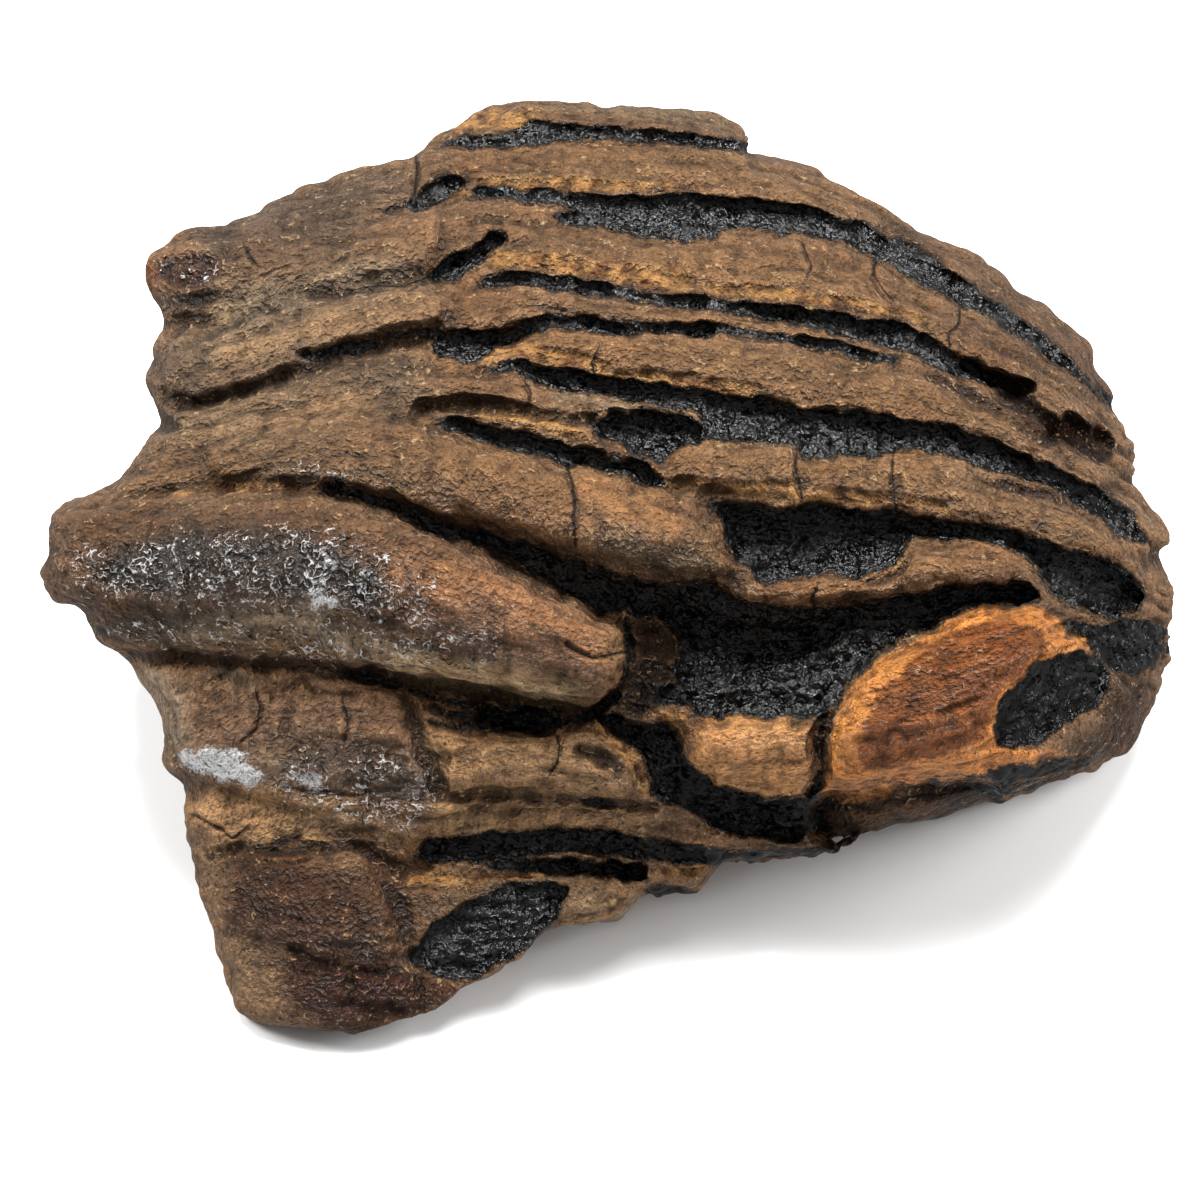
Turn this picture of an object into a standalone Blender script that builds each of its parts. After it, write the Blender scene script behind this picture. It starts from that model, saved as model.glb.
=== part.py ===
"""Fossil mammoth tooth, a partial molar in one piece, in metres with +Z up.

It rests on its broken underside, with the roots towards -X and the chewing face towards +X.
Its side is seen from -Y and a little above, and the form is laid out in that view: an outline, a depth
for each part of it, and the valleys, hollows and lobes between the ridge plates. Places in the view are
in steps of STEP across and down.
"""

import math

import bpy
import numpy as np

PLATE_SPACING = 0.012
STEPS_BETWEEN_PLATES = 75
STEP = PLATE_SPACING / STEPS_BETWEEN_PLATES
VIEW_CENTRE = (600.0, 600.0)
VIEW_TILT = math.radians(40)
VIEW_DISTANCE = 0.64
CENTRE_HEIGHT = 0.0615
FOOTPRINT_SHIFT = (-0.0032, -0.0373)
MM = 0.001
TINY = 1e-9

HUB = (600.0, 560.0)
FAR_ROUNDING = 150.0
LEAST_THICKNESS = 2.0

# Contact with the table: places from above and half widths, in metres.
CONTACT = [
    (-0.050, -0.060, 0.012), (-0.034, -0.030, 0.024), (-0.004, 0.005, 0.034), (0.036, 0.020, 0.032),
    (0.062, 0.000, 0.016), (0.080, 0.008, 0.010),
]

# How far the underside lifts around the contact.
UNDERSIDE_LIFT = 0.010
LIFT_REACH = 0.030
SINK = 0.001
SINK_REACH = 0.008

SEGMENTS = 240
RINGS = 140
VOXEL = 0.0013
KEEP = 0.055
CUTTER_SIDE = 0.5

COLOUR = (0.21, 0.125, 0.075, 1.0)
ROUGHNESS = 0.55

# Outline in the view, clockwise from the upper root stub.
OUTLINE = [
    (142, 275), (150, 252), (178, 229), (217, 226), (250, 212), (300, 187), (325, 178), (360, 163),
    (397, 155), (432, 140), (475, 108), (530, 101), (597, 101), (660, 103), (725, 117), (752, 132),
    (754, 150), (812, 165), (850, 186), (925, 230), (975, 250), (1025, 296), (1065, 325), (1093, 350),
    (1119, 402), (1132, 440), (1136, 485), (1168, 520), (1173, 545), (1163, 560), (1178, 600),
    (1171, 658), (1155, 700), (1127, 753), (1090, 775), (1050, 785), (1000, 805), (940, 820),
    (870, 838), (838, 852), (740, 862), (718, 867), (700, 898), (645, 897), (622, 920), (545, 930),
    (525, 957), (480, 982), (430, 1025), (390, 1040), (350, 1037), (310, 1037), (250, 1020),
    (228, 998), (217, 950), (198, 895), (185, 835), (184, 795), (162, 760), (162, 720), (140, 685),
    (108, 652), (80, 610), (50, 600), (40, 575), (45, 535), (60, 503), (100, 487), (125, 473),
    (165, 421), (140, 378), (150, 350), (162, 325), (147, 290),
]

# Rim: place, depth towards the viewer in mm, and how far in the edge is rounded.
RIM = [
    (142, 275, -38, 30), (200, 226, -44, 30), (310, 180, -50, 35), (397, 155, -54, 30),
    (480, 103, -64, 22), (600, 100, -64, 20), (750, 130, -64, 22), (835, 182, -62, 35),
    (955, 245, -62, 45), (1065, 325, -60, 45), (1130, 440, -56, 50), (1173, 545, -50, 45),
    (1171, 650, -52, 40), (1127, 753, -61, 34), (1000, 805, -52, 26), (920, 825, -42, 18),
    (838, 852, -35, 14), (700, 898, -25, 14), (600, 923, -17, 16), (540, 940, -13, 18),
    (465, 990, -9, 20),
    (360, 1041, -10, 18), (240, 1015, -13, 20), (205, 915, -20, 30), (184, 795, -24, 35),
    (162, 740, -24, 35), (100, 645, -22, 30), (42, 575, -22, 30), (60, 503, -24, 30),
    (150, 410, -32, 30), (142, 382, -34, 25), (160, 325, -38, 20),
]

# Depth of the near side in mm, before its ridges and hollows.
NEAR_SIDE = [
    (480, 110, -57), (600, 110, -54), (730, 115, -57),
    (300, 190, -46), (420, 180, -42), (600, 180, -40), (780, 185, -46),
    (180, 260, -36), (300, 260, -33), (450, 260, -28), (600, 260, -26), (780, 260, -30), (920, 260, -42),
    (180, 350, -28), (320, 350, -20), (500, 350, -16), (650, 350, -15), (800, 350, -18),
    (950, 350, -27), (1060, 350, -38),
    (170, 450, -18), (330, 450, -9), (500, 450, -7), (650, 450, -7), (800, 450, -9),
    (950, 450, -15), (1080, 450, -26),
    (80, 550, -14), (220, 550, -6), (400, 550, -4), (600, 550, -3), (800, 550, -5),
    (1000, 550, -9), (1110, 550, -20), (1160, 560, -32),
    (120, 650, -14), (280, 650, -8), (450, 650, -6), (640, 650, -5), (800, 650, -4),
    (950, 650, -3), (1060, 650, -8), (1150, 650, -28),
    (190, 750, -12), (330, 750, -8), (500, 750, -7), (700, 750, -5), (850, 750, -3),
    (960, 750, -4), (1060, 750, -12), (1110, 750, -24),
    (210, 850, -14), (330, 850, -9), (500, 850, -10), (650, 850, -13), (780, 850, -20),
    (230, 950, -12), (330, 950, -8), (430, 950, -8), (520, 930, -9),
    (260, 1015, -11), (400, 1015, -10),
]

# Depth of the far side in mm.
FAR_SIDE = [
    (180, 260, -66), (300, 200, -78), (600, 130, -80), (850, 220, -80), (180, 450, -82), (400, 330, -98),
    (700, 330, -102), (950, 380, -96), (90, 560, -72), (300, 560, -104), (600, 500, -112), (900, 550, -106),
    (1120, 560, -84), (400, 750, -112), (700, 750, -114), (1000, 740, -98), (300, 950, -100),
    (500, 930, -104),
]

# Valleys between the ridge plates, from the top down: place and half width.
VALLEYS = {
    "plates_1_2": [(440, 146, 3), (530, 139, 5), (650, 138, 5), (750, 145, 4)],
    "plates_2_3": [
        (415, 200, 5), (465, 180, 9), (520, 196, 4), (600, 212, 14), (660, 218, 20), (730, 213, 14),
        (800, 219, 12), (900, 253, 15), (1000, 318, 12), (1095, 385, 8),
    ],
    "plates_3_4": [(440, 272, 8), (497, 238, 8)],
    "plates_3_4_long": [
        (490, 279, 6), (600, 292, 5), (750, 308, 8), (850, 329, 9), (950, 364, 9), (1040, 420, 22),
        (1095, 440, 22),
    ],
    "plates_4_5": [
        (445, 347, 15), (490, 345, 17), (530, 330, 9), (640, 329, 4), (800, 341, 6), (900, 362, 4),
    ],
    "plates_5_6": [
        (525, 370, 9), (600, 386, 11), (700, 402, 13), (775, 420, 16), (850, 430, 18), (950, 442, 14),
        (1050, 478, 8), (1130, 528, 9),
    ],
    "plates_6_7": [(440, 420, 5), (520, 432, 8), (600, 448, 13), (660, 450, 24)],
}
VALLEY_DEPTH = 3.6
VALLEY_WALL = 11.0

# Hollows in the chewing face and the underside: places and half widths, depth in mm and width of the wall.
HOLLOWS = {
    "upper_hollow": ([(745, 520, 14), (800, 540, 32), (880, 535, 28)], 9, 16),
    "crown_hollow": ([(1040, 570, 20), (1120, 600, 22)], 8, 14),
    "lower_hollow": (
        [(650, 600, 16), (700, 650, 44), (770, 660, 48), (825, 650, 34), (880, 615, 16), (960, 595, 10)],
        13, 16,
    ),
    "step_beside_lobe": ([(652, 630, 16), (665, 690, 22), (690, 780, 14), (760, 815, 16)], 7, 14),
    "below_crown": ([(835, 818, 22), (900, 808, 22), (985, 795, 12)], 22, 16),
    "below_lobe": ([(480, 716, 12), (540, 718, 14)], 7, 14),
    "lower_slit": ([(440, 852, 8), (540, 848, 12), (700, 852, 10), (820, 857, 6)], 6, 12),
    "stub_patch": ([(430, 950, 18), (480, 930, 26), (530, 900, 20)], 3, 14),
    "crown_oval": ([(1020, 715, 22), (1060, 690, 26)], 2.5, 12),
}

# Grooves along the roots: places and half widths, depth in mm.
GROOVES = {
    "upper": ([(205, 355, 3), (260, 333, 4), (340, 300, 3)], 1.5),
    "middle": ([(190, 408, 4), (300, 372, 6), (380, 343, 6), (440, 336, 5)], 3.0),
    "between_stubs": ([(150, 335, 8), (200, 318, 4)], 3.0),
    "above_lobe": ([(330, 488, 5), (450, 533, 8), (560, 590, 10), (625, 610, 8)], 5.0),
    "below_lobe": ([(110, 656, 6), (340, 672, 6), (480, 692, 7), (600, 713, 8)], 5.0),
    "stub_top": ([(215, 852, 4), (370, 850, 4), (430, 862, 5)], 2.5),
}
GROOVE_WALL = 16.0
WALL_INSIDE = 0.3

# Lobes that stand out: axis places and half widths, height in mm.
LOBES = {
    "big_lobe": (
        [(90, 568, 62), (200, 571, 84), (350, 581, 89), (450, 608, 73), (550, 648, 58), (588, 660, 42)], 9,
    ),
    "root_plate": ([(240, 450, 36), (380, 460, 44), (500, 492, 42), (620, 530, 42), (700, 560, 34)], 4),
    "lower_stub": ([(300, 920, 90), (330, 985, 90)], 4),
    "root_column": ([(180, 720, 60), (300, 730, 80), (420, 770, 70)], 3),
    "island_small": ([(720, 750, 30), (800, 758, 32)], 2.5),
    "island_large": ([(860, 740, 44), (950, 690, 64), (1020, 655, 40)], 3),
    "knob": ([(920, 572, 22), (1000, 562, 24)], 3),
}

# Valleys of the far side, below those that both sides share.
FAR_VALLEYS = [
    [(470, 520, 8), (700, 540, 10), (950, 590, 9), (1120, 640, 6)],
    [(460, 610, 8), (700, 640, 10), (950, 680, 9), (1100, 710, 6)],
    [(440, 710, 8), (700, 740, 10), (960, 770, 8)],
]
FAR_SHIFT = -26.0


def smoothstep(low, high, value):
    t = np.clip((value - low) / (high - low), 0.0, 1.0)
    return t * t * (3.0 - 2.0 * t)


def place(px, py, depth):
    """World positions of view places at a depth in metres towards the viewer."""
    scale = STEP * (1.0 - depth / VIEW_DISTANCE)
    across = (px - VIEW_CENTRE[0]) * scale
    up = (VIEW_CENTRE[1] - py) * scale
    sine, cosine = math.sin(VIEW_TILT), math.cos(VIEW_TILT)
    return np.stack(
        [
            across + FOOTPRINT_SHIFT[0],
            up * sine - depth * cosine + FOOTPRINT_SHIFT[1],
            up * cosine + depth * sine + CENTRE_HEIGHT,
        ],
        axis=1,
    )


def around_hub(rows, angle):
    """Values of the rows, interpolated by the angle of each row's place around the hub."""
    rows = np.array(rows, float)
    turn = np.arctan2(rows[:, 1] - HUB[1], rows[:, 0] - HUB[0])
    order = np.argsort(turn)
    values = range(2, rows.shape[1])
    return [np.interp(angle, turn[order], rows[order, k], period=2 * math.pi) for k in values]


def outline_reach(angle):
    """Distance from the hub to the outline, along each angle."""
    points = np.array(OUTLINE, float) - HUB
    following = np.roll(points, -1, axis=0)
    ray = np.stack([np.cos(angle), np.sin(angle)], axis=1)[:, None, :]
    edge = (following - points)[None]
    start = points[None]
    cross = ray[..., 0] * edge[..., 1] - ray[..., 1] * edge[..., 0]
    cross = np.where(np.abs(cross) < TINY, TINY, cross)
    along_ray = (start[..., 0] * edge[..., 1] - start[..., 1] * edge[..., 0]) / cross
    along_edge = (start[..., 0] * ray[..., 1] - start[..., 1] * ray[..., 0]) / cross
    hit = (along_edge >= -TINY) & (along_edge <= 1 + TINY) & (along_ray > 0)
    return np.where(hit, along_ray, 0.0).max(axis=1)


def stroke_distance(path, px, py):
    """Distance of each view place outside a stroke of changing half width, and the nearest half width."""
    best = np.full(px.shape, np.inf)
    width = np.ones(px.shape)
    for (ax, ay, ar), (bx, by, br) in zip(path, path[1:]):
        length = (bx - ax) ** 2 + (by - ay) ** 2
        t = np.clip(((px - ax) * (bx - ax) + (py - ay) * (by - ay)) / length, 0.0, 1.0)
        radius = ar + (br - ar) * t
        distance = np.hypot(px - ax - t * (bx - ax), py - ay - t * (by - ay)) - radius
        nearer = distance < best
        best = np.where(nearer, distance, best)
        width = np.where(nearer, radius, width)
    return best, width


def carved(path, px, py, depth, wall):
    return -depth * (1.0 - smoothstep(-WALL_INSIDE * wall, wall, stroke_distance(path, px, py)[0]))


def raised(path, px, py, height):
    distance, width = stroke_distance(path, px, py)
    inward = np.clip(-distance / width, 0.0, 1.0)
    return height * np.sqrt(1.0 - (1.0 - inward) ** 2)


def thin_plate(rows):
    """Smooth height through the rows' places and values."""
    rows = np.array(rows, float)
    spots, values = rows[:, :2] / VIEW_CENTRE, rows[:, 2]

    def kernel(ax, ay, bx, by):
        square = (ax[:, None] - bx[None]) ** 2 + (ay[:, None] - by[None]) ** 2
        return square * np.log(square + TINY)

    count = len(rows)
    flat = np.column_stack([np.ones(count), spots])
    system = np.zeros((count + 3, count + 3))
    system[:count, :count] = kernel(spots[:, 0], spots[:, 1], spots[:, 0], spots[:, 1])
    system[:count, count:] = flat
    system[count:, :count] = flat.T
    weights = np.linalg.solve(system, np.concatenate([values, np.zeros(3)]))

    def height(px, py):
        x, y = px / VIEW_CENTRE[0], py / VIEW_CENTRE[1]
        return kernel(x, y, spots[:, 0], spots[:, 1]) @ weights[:count] + np.column_stack(
            [np.ones(len(x)), x, y]
        ) @ weights[count:]

    return height


def near_relief(px, py):
    """Ridges, hollows and lobes of the near side, in mm towards the viewer."""
    low = np.zeros(px.shape)
    for path in VALLEYS.values():
        low = np.minimum(low, carved(path, px, py, VALLEY_DEPTH, VALLEY_WALL))
    for path, depth, wall in HOLLOWS.values():
        low = np.minimum(low, carved(path, px, py, depth, wall))
    for path, depth in GROOVES.values():
        low = np.minimum(low, carved(path, px, py, depth, GROOVE_WALL))
    high = np.zeros(px.shape)
    for path, height in LOBES.values():
        high = np.maximum(high, raised(path, px, py, height))
    return low + high


def far_relief(px, py):
    """Valleys of the far side, in mm towards the viewer."""
    low = np.zeros(px.shape)
    for path in list(VALLEYS.values()) + FAR_VALLEYS:
        moved = [(x, y + FAR_SHIFT, r) for x, y, r in path]
        low = np.minimum(low, carved(moved, px, py, VALLEY_DEPTH, VALLEY_WALL))
    return -low


def underside(x, y):
    """Lowest height over each point of the table: below it at the contact, and lifted around that."""
    away = stroke_distance(CONTACT, x, y)[0]
    lifted = UNDERSIDE_LIFT * smoothstep(0.0, LIFT_REACH, away)
    return lifted - SINK * (1.0 - smoothstep(0.0, SINK_REACH, away))


def tooth_points(ball):
    """Moves the points of a unit ball, whose +Z faces the viewer, onto the tooth."""
    reach = np.hypot(ball[:, 0], ball[:, 1])
    angle = np.arctan2(-ball[:, 1], ball[:, 0])
    edge = outline_reach(angle)
    rim_depth, rounding = around_hub(RIM, angle)
    px = HUB[0] + edge * reach * np.cos(angle)
    py = HUB[1] + edge * reach * np.sin(angle)
    inset = edge * (1.0 - reach)
    near_edge = np.sqrt(1.0 - (1.0 - np.clip(inset / rounding, 0.0, 1.0)) ** 2)
    far_edge = np.sqrt(1.0 - (1.0 - np.clip(inset / FAR_ROUNDING, 0.0, 1.0)) ** 2)
    near = rim_depth + (thin_plate(NEAR_SIDE)(px, py) + near_relief(px, py) - rim_depth) * near_edge
    far = rim_depth + (thin_plate(FAR_SIDE)(px, py) + far_relief(px, py) - rim_depth) * far_edge
    depth = np.where(ball[:, 2] >= 0.0, near, np.minimum(far, near - LEAST_THICKNESS * far_edge))
    points = place(px, py, depth * MM)
    points[:, 2] = np.maximum(points[:, 2], underside(points[:, 0], points[:, 1]))
    return points


def material():
    made = bpy.data.materials.new("fossil_tooth")
    made.use_nodes = True
    shader = made.node_tree.nodes["Principled BSDF"]
    shader.inputs["Base Color"].default_value = COLOUR
    shader.inputs["Roughness"].default_value = ROUGHNESS
    made.diffuse_color = COLOUR
    return made


def table_cutter():
    """A block whose top is the plane that the tooth rests on."""
    bpy.ops.mesh.primitive_cube_add(size=CUTTER_SIDE, location=(0.0, 0.0, -CUTTER_SIDE / 2))
    cutter = bpy.context.object
    cutter.name = "table_cutter"
    cutter.hide_render = True
    cutter.display_type = "WIRE"
    return cutter


def tooth():
    bpy.ops.mesh.primitive_uv_sphere_add(segments=SEGMENTS, ring_count=RINGS, radius=1.0)
    made = bpy.context.object
    made.name = "tooth"
    mesh = made.data
    ball = np.empty(len(mesh.vertices) * 3)
    mesh.vertices.foreach_get("co", ball)
    mesh.vertices.foreach_set("co", tooth_points(ball.reshape(-1, 3)).ravel())
    mesh.update()
    mesh.materials.append(material())

    remesh = made.modifiers.new("even_mesh", "REMESH")
    remesh.mode = "VOXEL"
    remesh.voxel_size = VOXEL
    fewer = made.modifiers.new("fewer_faces", "DECIMATE")
    fewer.ratio = KEEP
    rest = made.modifiers.new("resting_face", "BOOLEAN")
    rest.operation = "DIFFERENCE"
    rest.object = table_cutter()
    return made


for item in list(bpy.data.objects):
    bpy.data.objects.remove(item)
tooth()
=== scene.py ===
"""Fossil mammoth tooth: the finished surface of a partial molar, its material and a small white studio."""

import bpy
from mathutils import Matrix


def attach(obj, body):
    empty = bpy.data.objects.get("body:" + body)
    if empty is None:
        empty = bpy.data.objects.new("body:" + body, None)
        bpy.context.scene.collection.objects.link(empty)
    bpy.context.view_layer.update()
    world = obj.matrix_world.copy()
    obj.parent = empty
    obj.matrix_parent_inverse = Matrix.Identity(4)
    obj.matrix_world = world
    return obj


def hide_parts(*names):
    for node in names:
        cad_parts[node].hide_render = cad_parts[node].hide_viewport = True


bl_info = {
    "name": "Fossil Mammoth Tooth",
    "version": (1, 0, 0),
    "blender": (4, 5, 0),
    "location": "View3D > Sidebar > Fossil",
    "description": "Sculpts a partial mammoth molar with ridge plates, dark cementum and broken roots",
    "category": "Add Mesh",
}

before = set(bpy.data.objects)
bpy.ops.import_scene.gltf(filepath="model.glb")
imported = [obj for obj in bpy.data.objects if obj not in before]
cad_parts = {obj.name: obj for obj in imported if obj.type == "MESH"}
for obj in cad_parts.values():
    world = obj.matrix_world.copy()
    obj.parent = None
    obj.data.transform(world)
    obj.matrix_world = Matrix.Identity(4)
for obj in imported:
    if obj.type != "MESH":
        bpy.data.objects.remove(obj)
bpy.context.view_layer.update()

import math

import bpy
import numpy as np
from bpy.props import FloatProperty, FloatVectorProperty, IntProperty, PointerProperty
from bpy.types import Operator, Panel, PropertyGroup

# The view that the form is laid out in: steps across and down, and a depth in mm towards the viewer.
VIEW_CENTRE = (600.0, 600.0)
VIEW_TILT = math.radians(40)
VIEW_DISTANCE = 0.64
CENTRE_PLACE = np.array((-0.0032, -0.0373, 0.0615))
ACROSS = np.array((1.0, 0.0, 0.0))
UPWARDS = np.array((0.0, math.sin(VIEW_TILT), math.cos(VIEW_TILT)))
NEARER = np.array((0.0, -math.cos(VIEW_TILT), math.sin(VIEW_TILT)))
STEPS_BETWEEN_PLATES = 75
MM = 0.001
TINY = 1e-9

# The middle of the outline, and how many rays find the outline from it.
HUB = (600.0, 560.0)
RAYS = 7201

# A spot with no mark near it counts as this many steps away.
FAR_OFF = 90.0

# The ball that the form is pressed from.
BALL_SEGMENTS = 400
BALL_RINGS = 240

# Outline in the view, clockwise from the upper root stub.
OUTLINE = [
    (142, 275), (145, 262), (150, 252), (163, 240), (178, 229), (200, 226), (217, 226), (232, 218),
    (250, 212), (277, 200), (300, 187), (310, 180), (325, 178), (337, 171), (360, 163), (385, 161),
    (397, 155), (405, 157), (420, 150), (432, 140), (450, 127), (475, 108), (487, 103), (530, 101),
    (560, 98), (597, 101), (603, 106), (635, 101), (660, 103), (700, 110), (725, 117), (745, 125),
    (752, 132), (755, 141), (755, 150), (775, 156), (800, 164), (812, 165), (835, 182), (850, 186),
    (875, 200), (900, 213), (925, 230), (955, 245), (975, 250), (1000, 270), (1025, 296), (1050, 308),
    (1065, 325), (1085, 338), (1093, 350), (1100, 368), (1115, 392), (1119, 402), (1114, 413),
    (1128, 430), (1132, 440), (1131, 450), (1136, 475), (1134, 485), (1155, 510), (1168, 520),
    (1174, 535), (1173, 545), (1161, 552), (1165, 565), (1175, 580), (1178, 600), (1171, 625),
    (1171, 658), (1164, 685), (1155, 700), (1135, 740), (1127, 753), (1100, 768), (1090, 775),
    (1075, 775), (1050, 785), (1020, 795), (1000, 805), (985, 806), (970, 808), (940, 820),
    (900, 830), (870, 838), (845, 845), (838, 852), (815, 860), (740, 862), (718, 867), (705, 888),
    (700, 898), (660, 898), (648, 893), (640, 900), (632, 912), (622, 920), (600, 923), (545, 930),
    (537, 942), (525, 957), (500, 975), (480, 982), (465, 990), (440, 1013), (430, 1025), (405, 1036),
    (390, 1040), (360, 1041), (350, 1035), (340, 1033), (310, 1037), (270, 1027), (250, 1020),
    (235, 1010), (228, 998), (222, 975), (217, 950), (205, 915), (198, 895), (196, 880), (190, 855),
    (185, 835), (184, 795), (178, 780), (165, 770), (162, 755), (162, 720), (150, 700), (140, 685),
    (130, 665), (120, 653), (108, 652), (95, 640), (88, 625), (80, 610), (60, 605), (50, 600),
    (42, 585), (40, 575), (42, 560), (49, 550), (45, 535), (52, 510), (60, 503), (75, 497),
    (100, 487), (125, 473), (142, 445), (150, 430), (165, 421), (150, 405), (142, 382), (140, 375),
    (150, 362), (150, 350), (155, 335), (162, 325), (153, 305), (147, 290),
]

# Rim: place, depth in mm, and how far in the edge is rounded.
RIM = [
    (142, 275, -38, 30), (200, 226, -44, 30), (310, 180, -50, 35), (397, 155, -54, 30),
    (480, 103, -64, 22), (600, 100, -64, 20), (750, 130, -64, 22), (835, 182, -62, 35),
    (955, 245, -62, 45), (1065, 325, -60, 45), (1130, 440, -56, 50), (1173, 545, -50, 45),
    (1171, 650, -52, 40), (1127, 753, -61, 34), (1000, 805, -52, 26), (920, 825, -42, 18),
    (838, 852, -35, 14), (700, 898, -25, 14), (600, 923, -17, 16), (540, 940, -13, 18),
    (465, 990, -9, 20),
    (360, 1041, -10, 18), (240, 1015, -13, 20), (205, 915, -20, 30), (184, 795, -24, 35),
    (162, 740, -24, 35), (100, 645, -22, 30), (42, 575, -22, 30), (60, 503, -24, 30),
    (150, 410, -32, 30), (142, 382, -34, 25), (160, 325, -38, 20),
]

# Depth of the near side in mm, before its ridges and hollows.
NEAR_SIDE = [
    (480, 110, -57), (600, 110, -54), (730, 115, -57),
    (300, 190, -46), (420, 180, -42), (600, 180, -40), (780, 185, -46),
    (180, 260, -36), (300, 260, -33), (450, 260, -28), (600, 260, -26), (780, 260, -30), (920, 260, -42),
    (180, 350, -28), (320, 350, -20), (500, 350, -16), (650, 350, -15), (800, 350, -18),
    (950, 350, -27), (1060, 350, -38),
    (170, 450, -18), (330, 450, -9), (500, 450, -7), (650, 450, -7), (800, 450, -9),
    (950, 450, -15), (1080, 450, -26),
    (80, 550, -14), (220, 550, -6), (400, 550, -4), (600, 550, -3), (800, 550, -5),
    (1000, 550, -9), (1110, 550, -20), (1160, 560, -32),
    (120, 650, -14), (280, 650, -8), (450, 650, -6), (640, 650, -5), (800, 650, -4),
    (950, 650, -3), (1060, 650, -8), (1150, 650, -28),
    (190, 750, -12), (330, 750, -8), (500, 750, -7), (700, 750, -5), (850, 750, -3),
    (960, 750, -4), (1060, 750, -12), (1110, 750, -24),
    (210, 850, -14), (330, 850, -9), (500, 850, -10), (650, 850, -13), (780, 850, -20),
    (230, 950, -12), (330, 950, -8), (430, 950, -8), (520, 930, -9),
    (260, 1015, -11), (400, 1015, -10),
]

# Depth of the far side in mm.
FAR_SIDE = [
    (180, 260, -66), (300, 200, -78), (600, 130, -80), (850, 220, -80), (180, 450, -82), (400, 330, -98),
    (700, 330, -102), (950, 380, -96), (90, 560, -72), (300, 560, -104), (600, 500, -112), (900, 550, -106),
    (1120, 560, -84), (400, 750, -112), (700, 750, -114), (1000, 740, -98), (300, 950, -100),
    (500, 930, -104),
]
FAR_ROUNDING = 150.0
LEAST_THICKNESS = 2.0

# Contact with the table: places from above and half widths, in metres.
CONTACT = [
    (-0.050, -0.060, 0.012), (-0.034, -0.030, 0.024), (-0.004, 0.005, 0.034), (0.036, 0.020, 0.032),
    (0.062, 0.000, 0.016), (0.080, 0.008, 0.010),
]

# How far the underside lifts around the contact, and how far the rough form sinks before it is cut flat.
UNDERSIDE_LIFT = 0.010
LIFT_REACH = 0.030
SINK = 0.001
SINK_REACH = 0.008

# Bands of cementum between the plates as they run round to the far side: places and half widths.
BANDS = [
    [(436, 147, 2), (520, 138, 5), (600, 135, 4), (700, 143, 4), (752, 146, 3)],
    [
        (418, 202, 6), (470, 184, 8), (550, 198, 7), (650, 212, 18), (725, 213, 15), (800, 218, 11),
        (850, 234, 14), (900, 254, 15), (950, 284, 14), (1000, 316, 11), (1050, 352, 10), (1108, 402, 4),
    ],
    [(438, 275, 9), (468, 258, 11), (497, 238, 8)],
    [
        (490, 281, 4), (600, 292, 5), (700, 305, 6), (800, 316, 9), (900, 338, 13), (950, 362, 10),
        (985, 380, 6),
    ],
    [
        (442, 347, 14), (500, 342, 12), (555, 322, 7), (650, 328, 4), (750, 329, 4), (846, 350, 6),
        (900, 362, 3),
    ],
    [
        (490, 369, 2), (575, 380, 9), (650, 394, 11), (750, 418, 18), (850, 432, 20), (950, 441, 13),
        (1000, 457, 11), (1050, 477, 8), (1100, 505, 13), (1146, 541, 4),
    ],
    [(440, 421, 4), (475, 431, 7), (525, 442, 9), (575, 455, 9), (640, 473, 8), (664, 483, 4)],
]
FAR_BANDS = [
    [(470, 520, 8), (700, 540, 10), (950, 590, 9), (1120, 640, 6)],
    [(460, 610, 8), (700, 640, 10), (950, 680, 9), (1100, 710, 6)],
    [(440, 710, 8), (700, 740, 10), (960, 770, 8)],
]

# The bands climb by this many steps over this many mm behind the near side, and their walls are this wide.
FAR_SHIFT = -26.0
FAR_BLEND = 60.0
FAR_WALL = 11.0

# Plates rise from the edge of the cementum to a crest: reach in steps, and height in mm.
CREST_REACH = 18.0
CREST = 2.1

# How far behind the near side, in mm, its marks start to fade out and are gone.
RELIEF_FADE = (1.5, 6.0)
CRACK_FADE = (2.0, 6.0)
FILLING_FADE = (3.0, 9.0)
STROKE_FADE = (3.0, 10.0)
STAIN_FADE = (4.0, 14.0)

# How far behind the near side, in mm, the two sets of bands start to show and are whole.
BAND_START = (1.0, 5.0)
FAR_BAND_START = (6.0, 16.0)

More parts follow.
